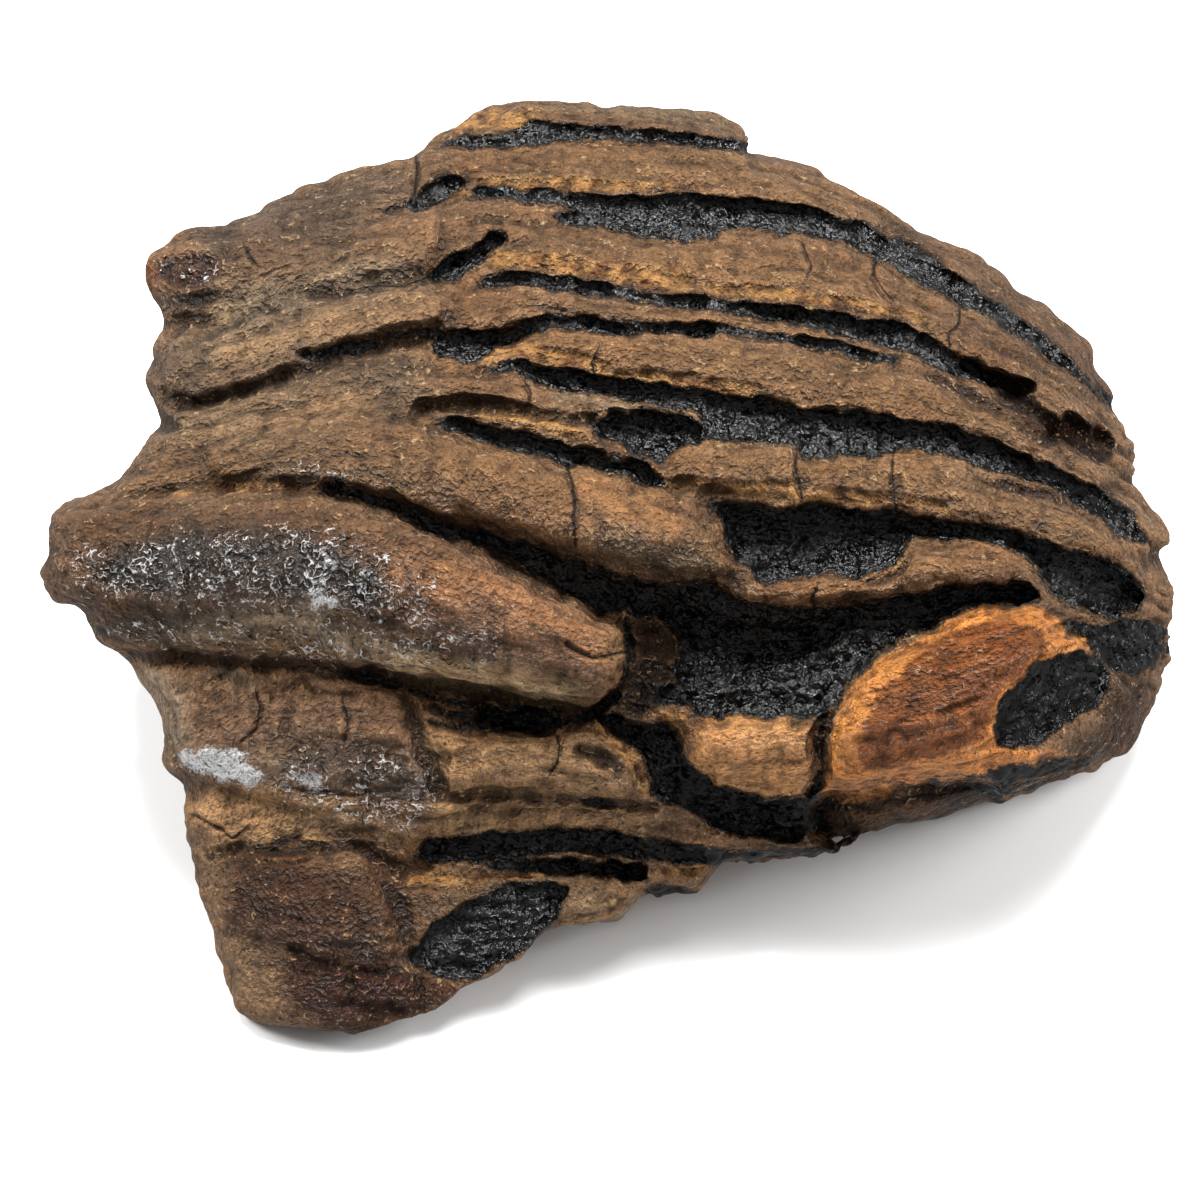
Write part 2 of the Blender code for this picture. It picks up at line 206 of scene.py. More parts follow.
# Pools of cementum on the near side: outline, depth in mm, width of the wall in steps.
POOLS = {
    "plates_1_2": ([
        (440, 146), (447, 141), (470, 136), (515, 134), (531, 121), (560, 124), (600, 127), (640, 131),
        (680, 133), (740, 139), (757, 142), (757, 150), (700, 146), (650, 143), (600, 139), (560, 142),
        (530, 148), (500, 148), (470, 147),
    ], 2.4, 5),
    "plates_2_3_start": ([
        (398, 208), (411, 203), (415, 197), (431, 183), (446, 174), (464, 174), (471, 180), (462, 187),
        (451, 195), (434, 207), (418, 211),
    ], 3.4, 5),
    "plates_2_3": ([
        (468, 190), (476, 187), (549, 190), (577, 193), (606, 195), (662, 195), (690, 193), (718, 197),
        (775, 201), (801, 206), (838, 217), (869, 226), (885, 236), (906, 242), (919, 250), (948, 269),
        (964, 281), (980, 292), (1003, 305), (1027, 322), (1045, 334), (1058, 344), (1072, 360), (1082, 373),
        (1095, 386), (1111, 402), (1106, 405), (1090, 388), (1074, 377), (1058, 368), (1045, 358),
        (1032, 347),
        (1016, 338), (1003, 329), (990, 318), (977, 311), (961, 309), (948, 297), (935, 290), (922, 284),
        (906, 272), (893, 264), (875, 263), (859, 254), (846, 247), (819, 237), (801, 232), (775, 234),
        (747, 228), (724, 229), (713, 239), (690, 241), (676, 242), (656, 237), (634, 235), (606, 228),
        (583, 225), (560, 222), (553, 217), (577, 211), (549, 204), (521, 200), (498, 199), (476, 197),
    ], 3.8, 6),
    "plates_3_4_start": ([
        (429, 275), (436, 265), (456, 253), (476, 242), (490, 231), (504, 231), (505, 239), (493, 251),
        (484, 262), (465, 273), (456, 282), (439, 283),
    ], 4.2, 6),
    "plates_3_4": ([
        (476, 284), (490, 276), (504, 275), (549, 275), (577, 279), (603, 284), (620, 287), (648, 292),
        (676, 297), (704, 300), (733, 300), (761, 303), (789, 307), (833, 313), (859, 321), (885, 323),
        (904, 325), (919, 334), (938, 343), (951, 352), (964, 360), (992, 376), (988, 386), (964, 379),
        (948, 373), (927, 363), (906, 354), (885, 347), (859, 339), (833, 334), (806, 326), (775, 321),
        (747, 314), (718, 310), (690, 310), (662, 304), (634, 300), (606, 297), (577, 292), (549, 289),
        (521, 287), (493, 287),
    ], 3.6, 6),
    "plates_4_5": ([
        (436, 345), (438, 338), (450, 333), (473, 330), (501, 330), (521, 324), (535, 317), (555, 313),
        (577, 316), (606, 320), (634, 324), (690, 324), (733, 325), (747, 328), (775, 335), (806, 337),
        (846, 344), (872, 352), (902, 359), (896, 365), (859, 359), (833, 352), (806, 347), (775, 341),
        (747, 333), (718, 334), (704, 338), (682, 333), (648, 333), (625, 334), (600, 333), (583, 330),
        (560, 328), (546, 330), (532, 335), (521, 341), (504, 348), (487, 355), (477, 362), (465, 362),
        (439, 359),
    ], 4.0, 6),
    "plates_5_6": ([
        (479, 366), (498, 368), (510, 362), (538, 366), (560, 368), (600, 375), (625, 379), (651, 383),
        (679, 386), (704, 390), (735, 396), (764, 399), (789, 405), (801, 409), (833, 410), (854, 410),
        (877, 415), (904, 421), (938, 425), (959, 429), (980, 436), (1006, 447), (1030, 457), (1056, 470),
        (1082, 482), (1106, 493), (1122, 505), (1135, 518), (1145, 534), (1149, 545), (1140, 545),
        (1119, 535),
        (1100, 521), (1082, 510), (1064, 495), (1048, 486), (1030, 481), (1011, 476), (990, 469), (964, 460),
        (948, 455), (927, 452), (904, 450), (895, 452), (885, 455), (869, 457), (846, 455), (827, 457),
        (801, 459), (797, 448), (783, 441), (775, 441), (733, 440), (704, 441), (699, 430), (700, 416),
        (690, 411), (662, 407), (634, 402), (606, 397), (577, 392), (549, 386), (529, 378), (515, 370),
        (501, 373),
    ], 3.8, 6),
    "between_plates": ([
        (590, 426), (600, 418), (620, 414), (634, 411), (662, 413), (685, 418), (702, 424), (704, 442),
        (690, 444), (679, 450), (667, 457), (662, 465), (651, 459), (634, 454), (620, 445), (606, 440),
    ], 4.0, 6),
    "plates_6_7": ([
        (437, 417), (453, 418), (479, 424), (507, 430), (535, 435), (555, 440), (577, 447), (594, 452),
        (620, 459), (642, 465), (662, 476), (668, 482), (663, 487), (642, 482), (620, 475), (600, 469),
        (577, 466), (560, 463), (549, 457), (521, 451), (493, 444), (465, 437), (448, 430),
    ], 3.6, 5),
    "upper": ([
        (709, 502), (726, 506), (756, 504), (778, 508), (808, 502), (830, 506), (860, 510), (894, 512),
        (916, 515), (953, 521), (990, 527), (1020, 532), (1046, 541), (1068, 550), (1098, 556), (1120, 567),
        (1139, 582), (1147, 597), (1139, 613), (1120, 619), (1094, 616), (1072, 608), (1053, 594),
        (1042, 582),
        (1031, 564), (1027, 556), (1009, 549), (990, 541), (953, 538), (934, 538), (916, 540), (907, 545),
        (901, 556), (890, 567), (871, 575), (853, 579), (823, 576), (797, 579), (771, 584), (760, 582),
        (749, 571), (737, 560), (726, 545), (724, 530), (720, 519),
    ], 5.5, 8),
    "lower": ([
        (596, 563), (618, 575), (644, 580), (667, 584), (678, 580), (704, 578), (717, 580), (730, 592),
        (749, 604), (778, 607), (808, 608), (830, 610), (853, 607), (875, 601), (897, 595), (927, 590),
        (957, 586), (990, 584), (1020, 584), (1035, 590), (1037, 599), (1020, 603), (990, 605), (964, 608),
        (946, 616), (934, 626), (916, 633), (897, 640), (882, 653), (864, 668), (845, 686), (838, 705),
        (827, 709), (819, 717), (801, 718), (786, 714), (764, 716), (741, 714), (711, 718), (697, 716),
        (689, 705), (674, 701), (659, 705), (652, 698), (659, 686), (674, 682), (672, 668), (678, 653),
        (674, 638), (667, 627), (656, 619), (640, 616), (628, 612), (620, 600), (610, 588),
    ], 6.0, 7),
    "crown_side": ([
        (1061, 623), (1094, 625), (1128, 621), (1158, 623), (1173, 630), (1174, 656), (1150, 668),
        (1135, 675),
        (1113, 671), (1094, 653), (1086, 640),
    ], 1.5, 6),
    "oval": ([
        (994, 724), (1001, 701), (1020, 683), (1028, 668), (1050, 657), (1080, 653), (1098, 657), (1107, 671),
        (1109, 686), (1098, 705), (1076, 716), (1057, 731), (1039, 742), (1013, 748), (996, 744),
    ], 2.0, 5),
    "below_island": ([
        (888, 780), (920, 777), (953, 776), (979, 775), (1002, 768), (1028, 763), (1057, 761), (1083, 757),
        (1098, 758), (1084, 772), (1046, 788), (1024, 797), (1003, 806), (987, 806), (983, 797), (972, 791),
        (953, 787), (916, 787),
    ], 2.0, 5),
    "step": ([
        (597, 717), (614, 715), (634, 721), (648, 724), (662, 722), (676, 729), (682, 743), (685, 757),
        (693, 767), (716, 784), (739, 794), (767, 798), (795, 795), (815, 790), (823, 800), (818, 828),
        (795, 842), (767, 838), (725, 831), (705, 820), (682, 806), (665, 803), (654, 795), (652, 780),
        (645, 758), (626, 743), (609, 730),
    ], 5.0, 8),
    "slit": ([
        (417, 853), (428, 842), (457, 838), (494, 833), (527, 831), (558, 829), (598, 829), (626, 836),
        (654, 839), (682, 845), (710, 849), (739, 852), (781, 851), (823, 849), (838, 853), (823, 861),
        (781, 863), (725, 864), (682, 863), (648, 860), (609, 855), (576, 852), (541, 852), (520, 857),
        (513, 861), (470, 862), (428, 861),
    ], 2.6, 6),
    "deep_slit": ([
        (470, 863), (513, 863), (541, 859), (576, 860), (612, 860), (648, 867), (646, 879), (626, 882),
        (614, 876), (583, 873), (558, 871), (527, 871), (490, 868),
    ], 6.0, 5),
    "patch": ([
        (405, 955), (417, 941), (437, 921), (462, 907), (482, 896), (504, 887), (527, 882), (553, 883),
        (567, 889), (567, 899), (558, 913), (547, 930), (536, 941), (521, 952), (507, 960), (490, 970),
        (470, 977), (452, 980), (430, 973), (415, 965),
    ], 1.6, 5),
    "pocket": ([
        (480, 709), (490, 705), (513, 707), (536, 708), (552, 712), (561, 721), (558, 729), (541, 735),
        (513, 733), (490, 731), (482, 721),
    ], 7.0, 7),
    "low_edge": ([(643, 889), (660, 888), (700, 892), (703, 897), (665, 898), (648, 894)], 1.6, 4),
    "beside_lobe": ([
        (474, 530), (500, 538), (525, 543), (545, 550), (560, 560), (583, 562), (600, 571), (618, 585),
        (626, 600), (622, 612), (605, 612), (590, 603), (565, 592), (545, 577), (520, 562), (500, 551),
        (482, 541),
    ], 4.2, 6),
}

# Deeper parts of the pools: places and half widths, depth in mm, width of the wall in steps.
DEEPS = {
    "upper": ([(765, 538, 2), (800, 545, 4), (870, 542, 2)], 8, 36),
    "crown": ([(1065, 575, 2), (1095, 590, 4), (1120, 597, 2)], 7.5, 30),
    "lower": ([(672, 606, 3), (705, 632, 12), (745, 645, 18), (800, 640, 12), (850, 620, 4)], 10, 40),
    "under_knob": ([(900, 610, 3), (960, 598, 3), (1022, 594, 2)], 8, 14),
    "step": ([(700, 800, 2), (760, 814, 3), (812, 812, 4)], 8, 16),
    "island_crack": ([(824, 716, 2), (820, 740, 2), (820, 768, 2), (815, 792, 5)], 8, 6),
    "nose_edge": ([
        (560, 722, 2), (580, 719, 3), (598, 713, 4), (618, 694, 3), (629, 664, 3), (629, 625, 4),
    ], 6, 6),
}

# Thin threads of cementum: places and half widths, depth in mm, width of the wall in steps.
THREADS = {
    "lobe_upper": ([(332, 486, 3), (400, 509, 5), (450, 532, 5), (480, 541, 4)], 5, 9),
    "root_main": ([(302, 357, 2), (331, 350, 6), (355, 349, 6), (376, 343, 4)], 3.2, 8),
    "root_tip": ([(386, 338, 1), (395, 336, 3), (415, 333, 2), (440, 335, 4)], 2.4, 6),
    "near_pocket_1": ([(412, 688, 1), (450, 700, 2), (485, 711, 3)], 1.6, 5),
    "near_pocket_2": ([(425, 706, 1), (455, 714, 2), (485, 721, 3)], 1.6, 5),
    "near_pocket_3": ([(430, 722, 1), (460, 727, 2), (483, 729, 2)], 1.6, 5),
    "column_shade": ([(346, 671, 2), (365, 678, 4), (398, 684, 3)], 2.5, 7),
    "strip": ([(582, 801, 2), (598, 803, 4), (614, 806, 2)], 1.2, 5),
    "plates_3_4_end": ([(984, 380, 3), (1010, 390, 2), (1036, 401, 0)], 2.4, 5),
    "plate_gap": ([(415, 206, 1), (395, 208, 1), (380, 214, 0)], 1.2, 5),
}

# Hollows with no cementum: outline, depth in mm, width of the wall in steps.
BARE_POOLS = {
    "right_wall": ([
        (954, 354), (969, 360), (990, 368), (1009, 373), (1027, 379), (1038, 387), (1031, 395), (1043, 410),
        (1058, 415), (1072, 410), (1085, 418), (1093, 427), (1097, 420), (1111, 428), (1119, 439),
        (1114, 457),
        (1099, 470), (1087, 460), (1077, 448), (1059, 443), (1045, 447), (1043, 434), (1043, 423),
        (1035, 415),
        (1016, 409), (998, 396), (990, 387), (970, 380),
    ], 7, 6),
    "nose_step": ([
        (629, 616), (656, 619), (667, 627), (674, 638), (678, 653), (672, 668), (674, 682), (659, 686),
        (652, 698), (656, 712), (640, 718), (618, 716), (608, 712), (620, 695), (630, 670), (632, 640),
    ], 5, 7),
    "plate_slit": ([
        (975, 478), (1000, 478), (1030, 484), (1058, 493), (1085, 509), (1060, 503), (1020, 494), (995, 489),
    ], 1.8, 6),
    "root_recess": ([(305, 289), (318, 286), (350, 285), (353, 292), (340, 298), (308, 299)], 1.0, 4),
    "stub_face": ([
        (158, 262), (168, 254), (190, 251), (212, 255), (223, 262), (222, 276), (212, 284), (190, 290),
        (166, 288), (156, 276),
    ], 2.2, 9),
    "second_face": ([
        (150, 384), (172, 388), (194, 394), (196, 408), (186, 416), (166, 414), (152, 400),
    ], 1.8, 8),
    "column_hole": ([(269, 840), (278, 832), (303, 834), (300, 843), (280, 846)], 1.6, 4),
    "scar": ([(207, 668), (225, 667), (246, 674), (258, 683), (240, 686), (216, 680)], 0.7, 4),
}

# Grooves with no cementum: places and half widths, depth in mm, width of the wall.
GROOVES = {
    "below_crown": ([(835, 820, 22), (900, 810, 24), (985, 797, 14)], 22, 14),
    "second_ridge": ([(934, 374, 2), (950, 382, 3), (966, 392, 3), (980, 402, 4), (1000, 411, 2)], 1.8, 6),
    "fold": ([
        (414, 416, 2), (430, 408, 4), (450, 405, 4), (480, 404, 3), (525, 411, 3), (560, 417, 3),
        (592, 421, 3),
    ], 2.6, 7),
    "sliver": ([(478, 221, 1), (540, 221, 2), (600, 230, 1), (650, 240, 1)], 1.5, 6),
    "shelf_2": ([(886, 226, 3), (905, 239, 4), (925, 252, 5), (942, 262, 3)], 2.0, 6),
    "root_notch": ([(158, 328, 4), (185, 322, 3), (205, 320, 2)], 2.4, 12),
    "root_line": ([(208, 350, 1), (235, 340, 2), (275, 325, 2), (300, 312, 1), (330, 300, 1)], 1.3, 8),
    "root_main": ([
        (195, 405, 1), (250, 389, 3), (300, 369, 4), (340, 352, 6), (375, 346, 5), (392, 337, 4),
        (437, 335, 3),
    ], 2.8, 12),
    "root_upper": ([(340, 225, 1), (400, 215, 1)], 0.9, 7),
    "lobe_upper_left": ([(120, 496, 1), (200, 486, 2), (260, 480, 2), (330, 486, 2)], 1.2, 8),
    "lobe_upper": ([
        (330, 487, 4), (400, 510, 6), (450, 533, 7), (500, 556, 6), (560, 590, 5), (612, 610, 4),
    ], 4.6, 10),
    "lobe_lower_left": ([(108, 656, 2), (200, 662, 2), (300, 663, 3), (370, 672, 4)], 1.6, 9),
    "lobe_lower": ([(364, 671, 3), (400, 679, 5), (440, 684, 4), (500, 699, 4), (592, 715, 5)], 4.4, 10),
    "column_edge": ([
        (399, 686, 3), (410, 705, 4), (416, 725, 4), (422, 753, 4), (433, 773, 3), (442, 793, 3),
    ], 2.6, 7),
    "stub_top": ([
        (208, 852, 2), (247, 849, 2), (317, 849, 2), (368, 850, 2), (385, 863, 4), (402, 871, 4),
        (427, 863, 3),
    ], 2.2, 8),
    "strip_line": ([(436, 800, 1), (520, 796, 2), (600, 801, 2), (655, 808, 3)], 1.6, 7),
    "rough_patch": ([(578, 752, 4), (600, 758, 4), (618, 770, 5)], 1.4, 5),
    "rough_hole": ([(538, 781, 2), (552, 787, 3)], 1.4, 4),
    "patch_side": ([(398, 900, 2), (401, 918, 6), (404, 935, 5)], 1.2, 6),
    "brick_line": ([(287, 954, 1), (317, 964, 2), (350, 969, 2), (374, 972, 3), (404, 969, 2)], 1.2, 5),
}

# Lobes that stand out: axis places and half widths, height in mm.
LOBES = {
    "big_lobe": ([
        (90, 568, 62), (200, 571, 84), (350, 581, 89), (450, 608, 73), (550, 648, 58), (588, 660, 42),
    ], 9),
    "root_plate": ([(240, 450, 36), (380, 460, 44), (500, 492, 42), (620, 530, 42), (700, 560, 34)], 4),
    "lower_stub": ([(300, 920, 90), (330, 985, 90)], 4),
    "root_column": ([(180, 720, 60), (300, 730, 80), (420, 770, 70)], 3),
    "island_small": ([(720, 750, 30), (800, 758, 32)], 1.5),
    "island_large": ([(860, 740, 44), (950, 690, 64), (1020, 655, 40)], 2),
    "knob": ([(920, 572, 22), (1000, 562, 24)], 3),
    "plate_below": ([(460, 755, 34), (560, 752, 40), (620, 768, 30)], 2.0),
    "top_root": ([(190, 262, 36), (300, 240, 48), (400, 230, 40)], 3),
    "second_root": ([(180, 380, 28), (300, 335, 34), (420, 305, 26)], 2.5),
}

# Blocks that stand a little above their surroundings: outline, height in mm, width of the edge in steps.
BLOCKS = {
    "island_small": ([
        (693, 728), (704, 720), (726, 718), (756, 718), (786, 720), (793, 727), (808, 724), (821, 728),
        (821, 746), (818, 765), (812, 780), (797, 792), (782, 796), (764, 791), (745, 785), (722, 783),
        (700, 774), (690, 765), (697, 746),
    ], 2.0, 5),
    "island_large": ([
        (825, 797), (826, 780), (828, 753), (838, 724), (842, 705), (853, 687), (871, 668), (893, 653),
        (916, 640), (934, 632), (949, 620), (972, 610), (994, 608), (1009, 612), (1028, 606), (1046, 612),
        (1061, 624), (1065, 634), (1090, 638), (1092, 649), (1110, 680), (1140, 690), (1128, 720),
        (1100, 745),
        (1065, 757), (1009, 766), (972, 774), (935, 780), (898, 783), (886, 794), (860, 802), (841, 802),
    ], 2.2, 6),
    "raw_corner": ([
        (652, 713), (667, 711), (682, 714), (692, 719), (688, 738), (675, 728), (660, 722),
    ], 1.5, 4),
    "plate_6_a": ([
        (668, 457), (679, 451), (704, 443), (733, 441), (775, 442), (789, 447), (796, 458), (800, 502),
        (745, 496), (700, 492), (668, 482),
    ], 1.3, 6),
    "plate_6_b": ([
        (801, 461), (827, 458), (846, 456), (869, 458), (885, 456), (891, 462), (893, 510), (850, 507),
        (803, 501),
    ], 0.8, 6),
    "plate_6_c": ([
        (897, 458), (904, 452), (948, 457), (975, 470), (985, 490), (1000, 520), (960, 517), (898, 511),
    ], 1.1, 6),
    "plate_7_end": ([
        (574, 470), (600, 475), (650, 487), (690, 500), (716, 518), (727, 545), (740, 565), (745, 576),
        (700, 574), (650, 573), (600, 560), (577, 548),
    ], 0.9, 6),
    "plate_2_left": ([
        (377, 165), (397, 158), (411, 160), (413, 185), (407, 200), (380, 208), (366, 190),
    ], 0.9, 6),
    "plate_5_left": ([
        (345, 365), (400, 362), (440, 370), (480, 372), (524, 384), (522, 404), (480, 400), (440, 402),
        (410, 405), (380, 385),
    ], 0.8, 6),
    "plate_3_left": ([
        (350, 225), (400, 213), (440, 215), (450, 235), (436, 262), (425, 275), (380, 282), (345, 262),
    ], 0.9, 8),
    "plate_4_left": ([
        (360, 292), (420, 284), (455, 288), (462, 305), (446, 325), (420, 331), (385, 333), (350, 325),
    ], 0.9, 8),
    "plate_below": ([
        (440, 738), (480, 736), (550, 736), (590, 722), (612, 732), (636, 750), (648, 775), (648, 798),
        (620, 797), (540, 792), (446, 796),
    ], 1.4, 6),
    "column_a": ([
        (214, 696), (232, 690), (250, 694), (256, 715), (250, 734), (222, 737), (212, 722),
    ], 0.45, 6),
    "column_b": ([(262, 700), (282, 694), (284, 716), (280, 733), (262, 731)], 0.45, 5),
    "column_c": ([(288, 696), (340, 698), (348, 720), (344, 740), (300, 740), (290, 730)], 0.45, 6),
    "column_d": ([(346, 698), (392, 697), (404, 715), (406, 742), (362, 746), (350, 738)], 0.45, 6),
    "column_e": ([(350, 752), (392, 750), (408, 765), (402, 786), (372, 792), (352, 782)], 0.45, 6),
    "column_f": ([
        (270, 746), (330, 746), (344, 762), (346, 792), (318, 788), (296, 776), (268, 770),
    ], 0.45, 6),
    "brick_a": ([(292, 960), (318, 968), (346, 972), (346, 1003), (320, 1008), (294, 1006)], 0.6, 5),
    "brick_b": ([
        (354, 973), (398, 974), (450, 984), (462, 988), (440, 1008), (400, 1012), (354, 1004),
    ], 0.7, 5),
    "stub_face": ([
        (218, 868), (240, 858), (300, 856), (372, 858), (392, 882), (398, 930), (396, 962), (340, 962),
        (285, 950), (230, 930),
    ], 0.9, 8),
    "lobe_nose": ([
        (470, 620), (520, 612), (570, 618), (612, 625), (622, 650), (590, 656), (560, 646), (510, 640),
    ], 0.8, 8),
    "lobe_mid": ([
        (330, 500), (390, 520), (420, 560), (400, 620), (350, 640), (310, 600), (306, 540),
    ], 0.8, 14),
}

# Lobes and root columns of the far side.
FAR_LOBES = {
    "upper_root": ([(150, 290, 40), (320, 290, 56), (450, 300, 44)], 5),
    "middle_root": ([(110, 440, 50), (300, 430, 60), (460, 420, 46)], 6),
    "lower_root": ([(100, 580, 56), (300, 570, 66), (480, 560, 50)], 6),
}

# Raw orange-brown dentine where edges have crumbled: places and half widths.
WORN = [
    [(458, 127, 5), (478, 118, 9), (500, 119, 11), (522, 122, 10)],
    [(478, 181, 4), (520, 183, 6), (580, 184, 6), (640, 186, 4), (690, 188, 3)],
    [(452, 196, 4), (470, 193, 4)],
    [(497, 260, 9), (560, 264, 10), (603, 270, 10)],
    [(610, 273, 10), (645, 276, 12), (684, 280, 11)],
    [(700, 289, 6), (740, 290, 7), (790, 294, 8), (850, 303, 7), (900, 313, 6), (925, 322, 4)],
    [(480, 362, 3), (500, 355, 6), (520, 349, 7), (560, 356, 9), (604, 366, 8)],
    [(610, 374, 5), (660, 377, 6), (710, 384, 7), (755, 391, 6)],
    [(480, 414, 3), (530, 420, 6), (560, 428, 8), (580, 436, 6)],
    [(672, 484, 7), (730, 489, 8), (795, 492, 9)],
    [(806, 494, 7), (850, 498, 7), (888, 500, 7)],
    [(905, 500, 6), (945, 508, 5)],
    [(148, 497, 2), (200, 489, 4), (260, 484, 5), (318, 491, 4)],
    [(600, 730, 4), (622, 748, 7), (638, 772, 8), (642, 790, 6)],
    [(655, 872, 4), (706, 869, 5)],
    [(410, 878, 7), (450, 880, 9), (500, 876, 6), (540, 876, 3)],
    [(655, 716, 4), (672, 720, 6), (684, 732, 4)],
    [(284, 691, 1), (300, 683, 2), (317, 689, 2), (340, 692, 1), (357, 692, 2), (374, 688, 1), (399, 690, 1)],
    [(289, 953, 1), (317, 961, 1), (340, 967, 1), (351, 966, 1)],
    [(350, 968, 1), (351, 985, 2), (350, 1001, 1)],
    [(262, 858, 1), (290, 861, 2), (314, 856, 2)],
    [(560, 922, 3), (600, 916, 3), (625, 905, 2)],
    [(902, 560, 4), (880, 578, 4), (850, 586, 3), (818, 592, 3)],
]

# Cracks: how wide they are in steps, and their places.
CRACKS = [
    (1.5, [(415, 157), (417, 174), (415, 189), (411, 204)]),
    (0.8, [(803, 243), (806, 256), (812, 266), (808, 273)]),
    (1.2, [(875, 263), (873, 274), (880, 287), (893, 302)]),
    (1.0, [(961, 310), (959, 323), (948, 334), (951, 347)]),
    (1.3, [(597, 350), (591, 362), (594, 373)]),
    (1.0, [(525, 383), (530, 393), (524, 407)]),
    (1.3, [(797, 446), (796, 465), (799, 480), (802, 500)]),
    (1.1, [(892, 454), (892, 475), (894, 492), (896, 511)]),
    (1.5, [(569, 467), (573, 482), (575, 500), (573, 524), (575, 548)]),
    (1.3, [(815, 588), (810, 601), (815, 609)]),
    (1.5, [(815, 609), (806, 642), (797, 683), (792, 698)]),
    (1.3, [(566, 645), (580, 654), (595, 658), (609, 656), (627, 652)]),
    (0.9, [(257, 692), (260, 708), (255, 730), (240, 742)]),
    (0.7, [(343, 696), (347, 716), (345, 742)]),
    (0.9, [(190, 816), (215, 826), (234, 838), (246, 828)]),
    (0.6, [(284, 788), (318, 792), (350, 796), (402, 790)]),
    (1.2, [(246, 246), (250, 254), (257, 262)]),
    (0.9, [(264, 275), (276, 270), (288, 266)]),
    (0.9, [(353, 290), (380, 287), (400, 288), (429, 279)]),
    (1.1, [(173, 396), (184, 394), (194, 400)]),
    (0.8, [(555, 732), (559, 745), (557, 763), (549, 775)]),
]

# How many steps from a crack its drawing starts to fade, and where it is gone.
CRACK_NEAR = 5.0
CRACK_REACH = 12.0

# Lines along the plates: places and how many plates down they are.
PLATE_LINES = {
    0.0: [(440, 146), (600, 137), (750, 145)],
    1.0: [(260, 235), (470, 180), (600, 208), (725, 213), (850, 236), (950, 292), (1050, 352), (1110, 402)],
    2.0: [(160, 325), (330, 300), (440, 278), (600, 292), (750, 309), (900, 338), (1000, 390), (1110, 450)],
    2.6: [(200, 402), (340, 350), (440, 340), (600, 327), (800, 341), (900, 362), (1010, 415)],
    3.3: [(300, 410), (420, 385), (535, 372), (700, 402), (850, 429), (1000, 457), (1125, 524)],
    4.0: [(130, 470), (300, 430), (440, 421), (575, 450), (664, 482), (850, 512), (1000, 528), (1150, 590)],
    5.0: [(80, 500), (260, 481), (400, 511), (500, 556), (612, 608), (750, 600), (900, 600), (1020, 592)],
    7.0: [(110, 656), (340, 672), (480, 692), (600, 713), (830, 720), (1100, 650)],
    8.2: [(190, 800), (440, 800), (650, 806), (900, 785), (1075, 765)],
    9.0: [(220, 852), (435, 854), (600, 845), (830, 856)],
    11.2: [(230, 1010), (400, 1030)],
}

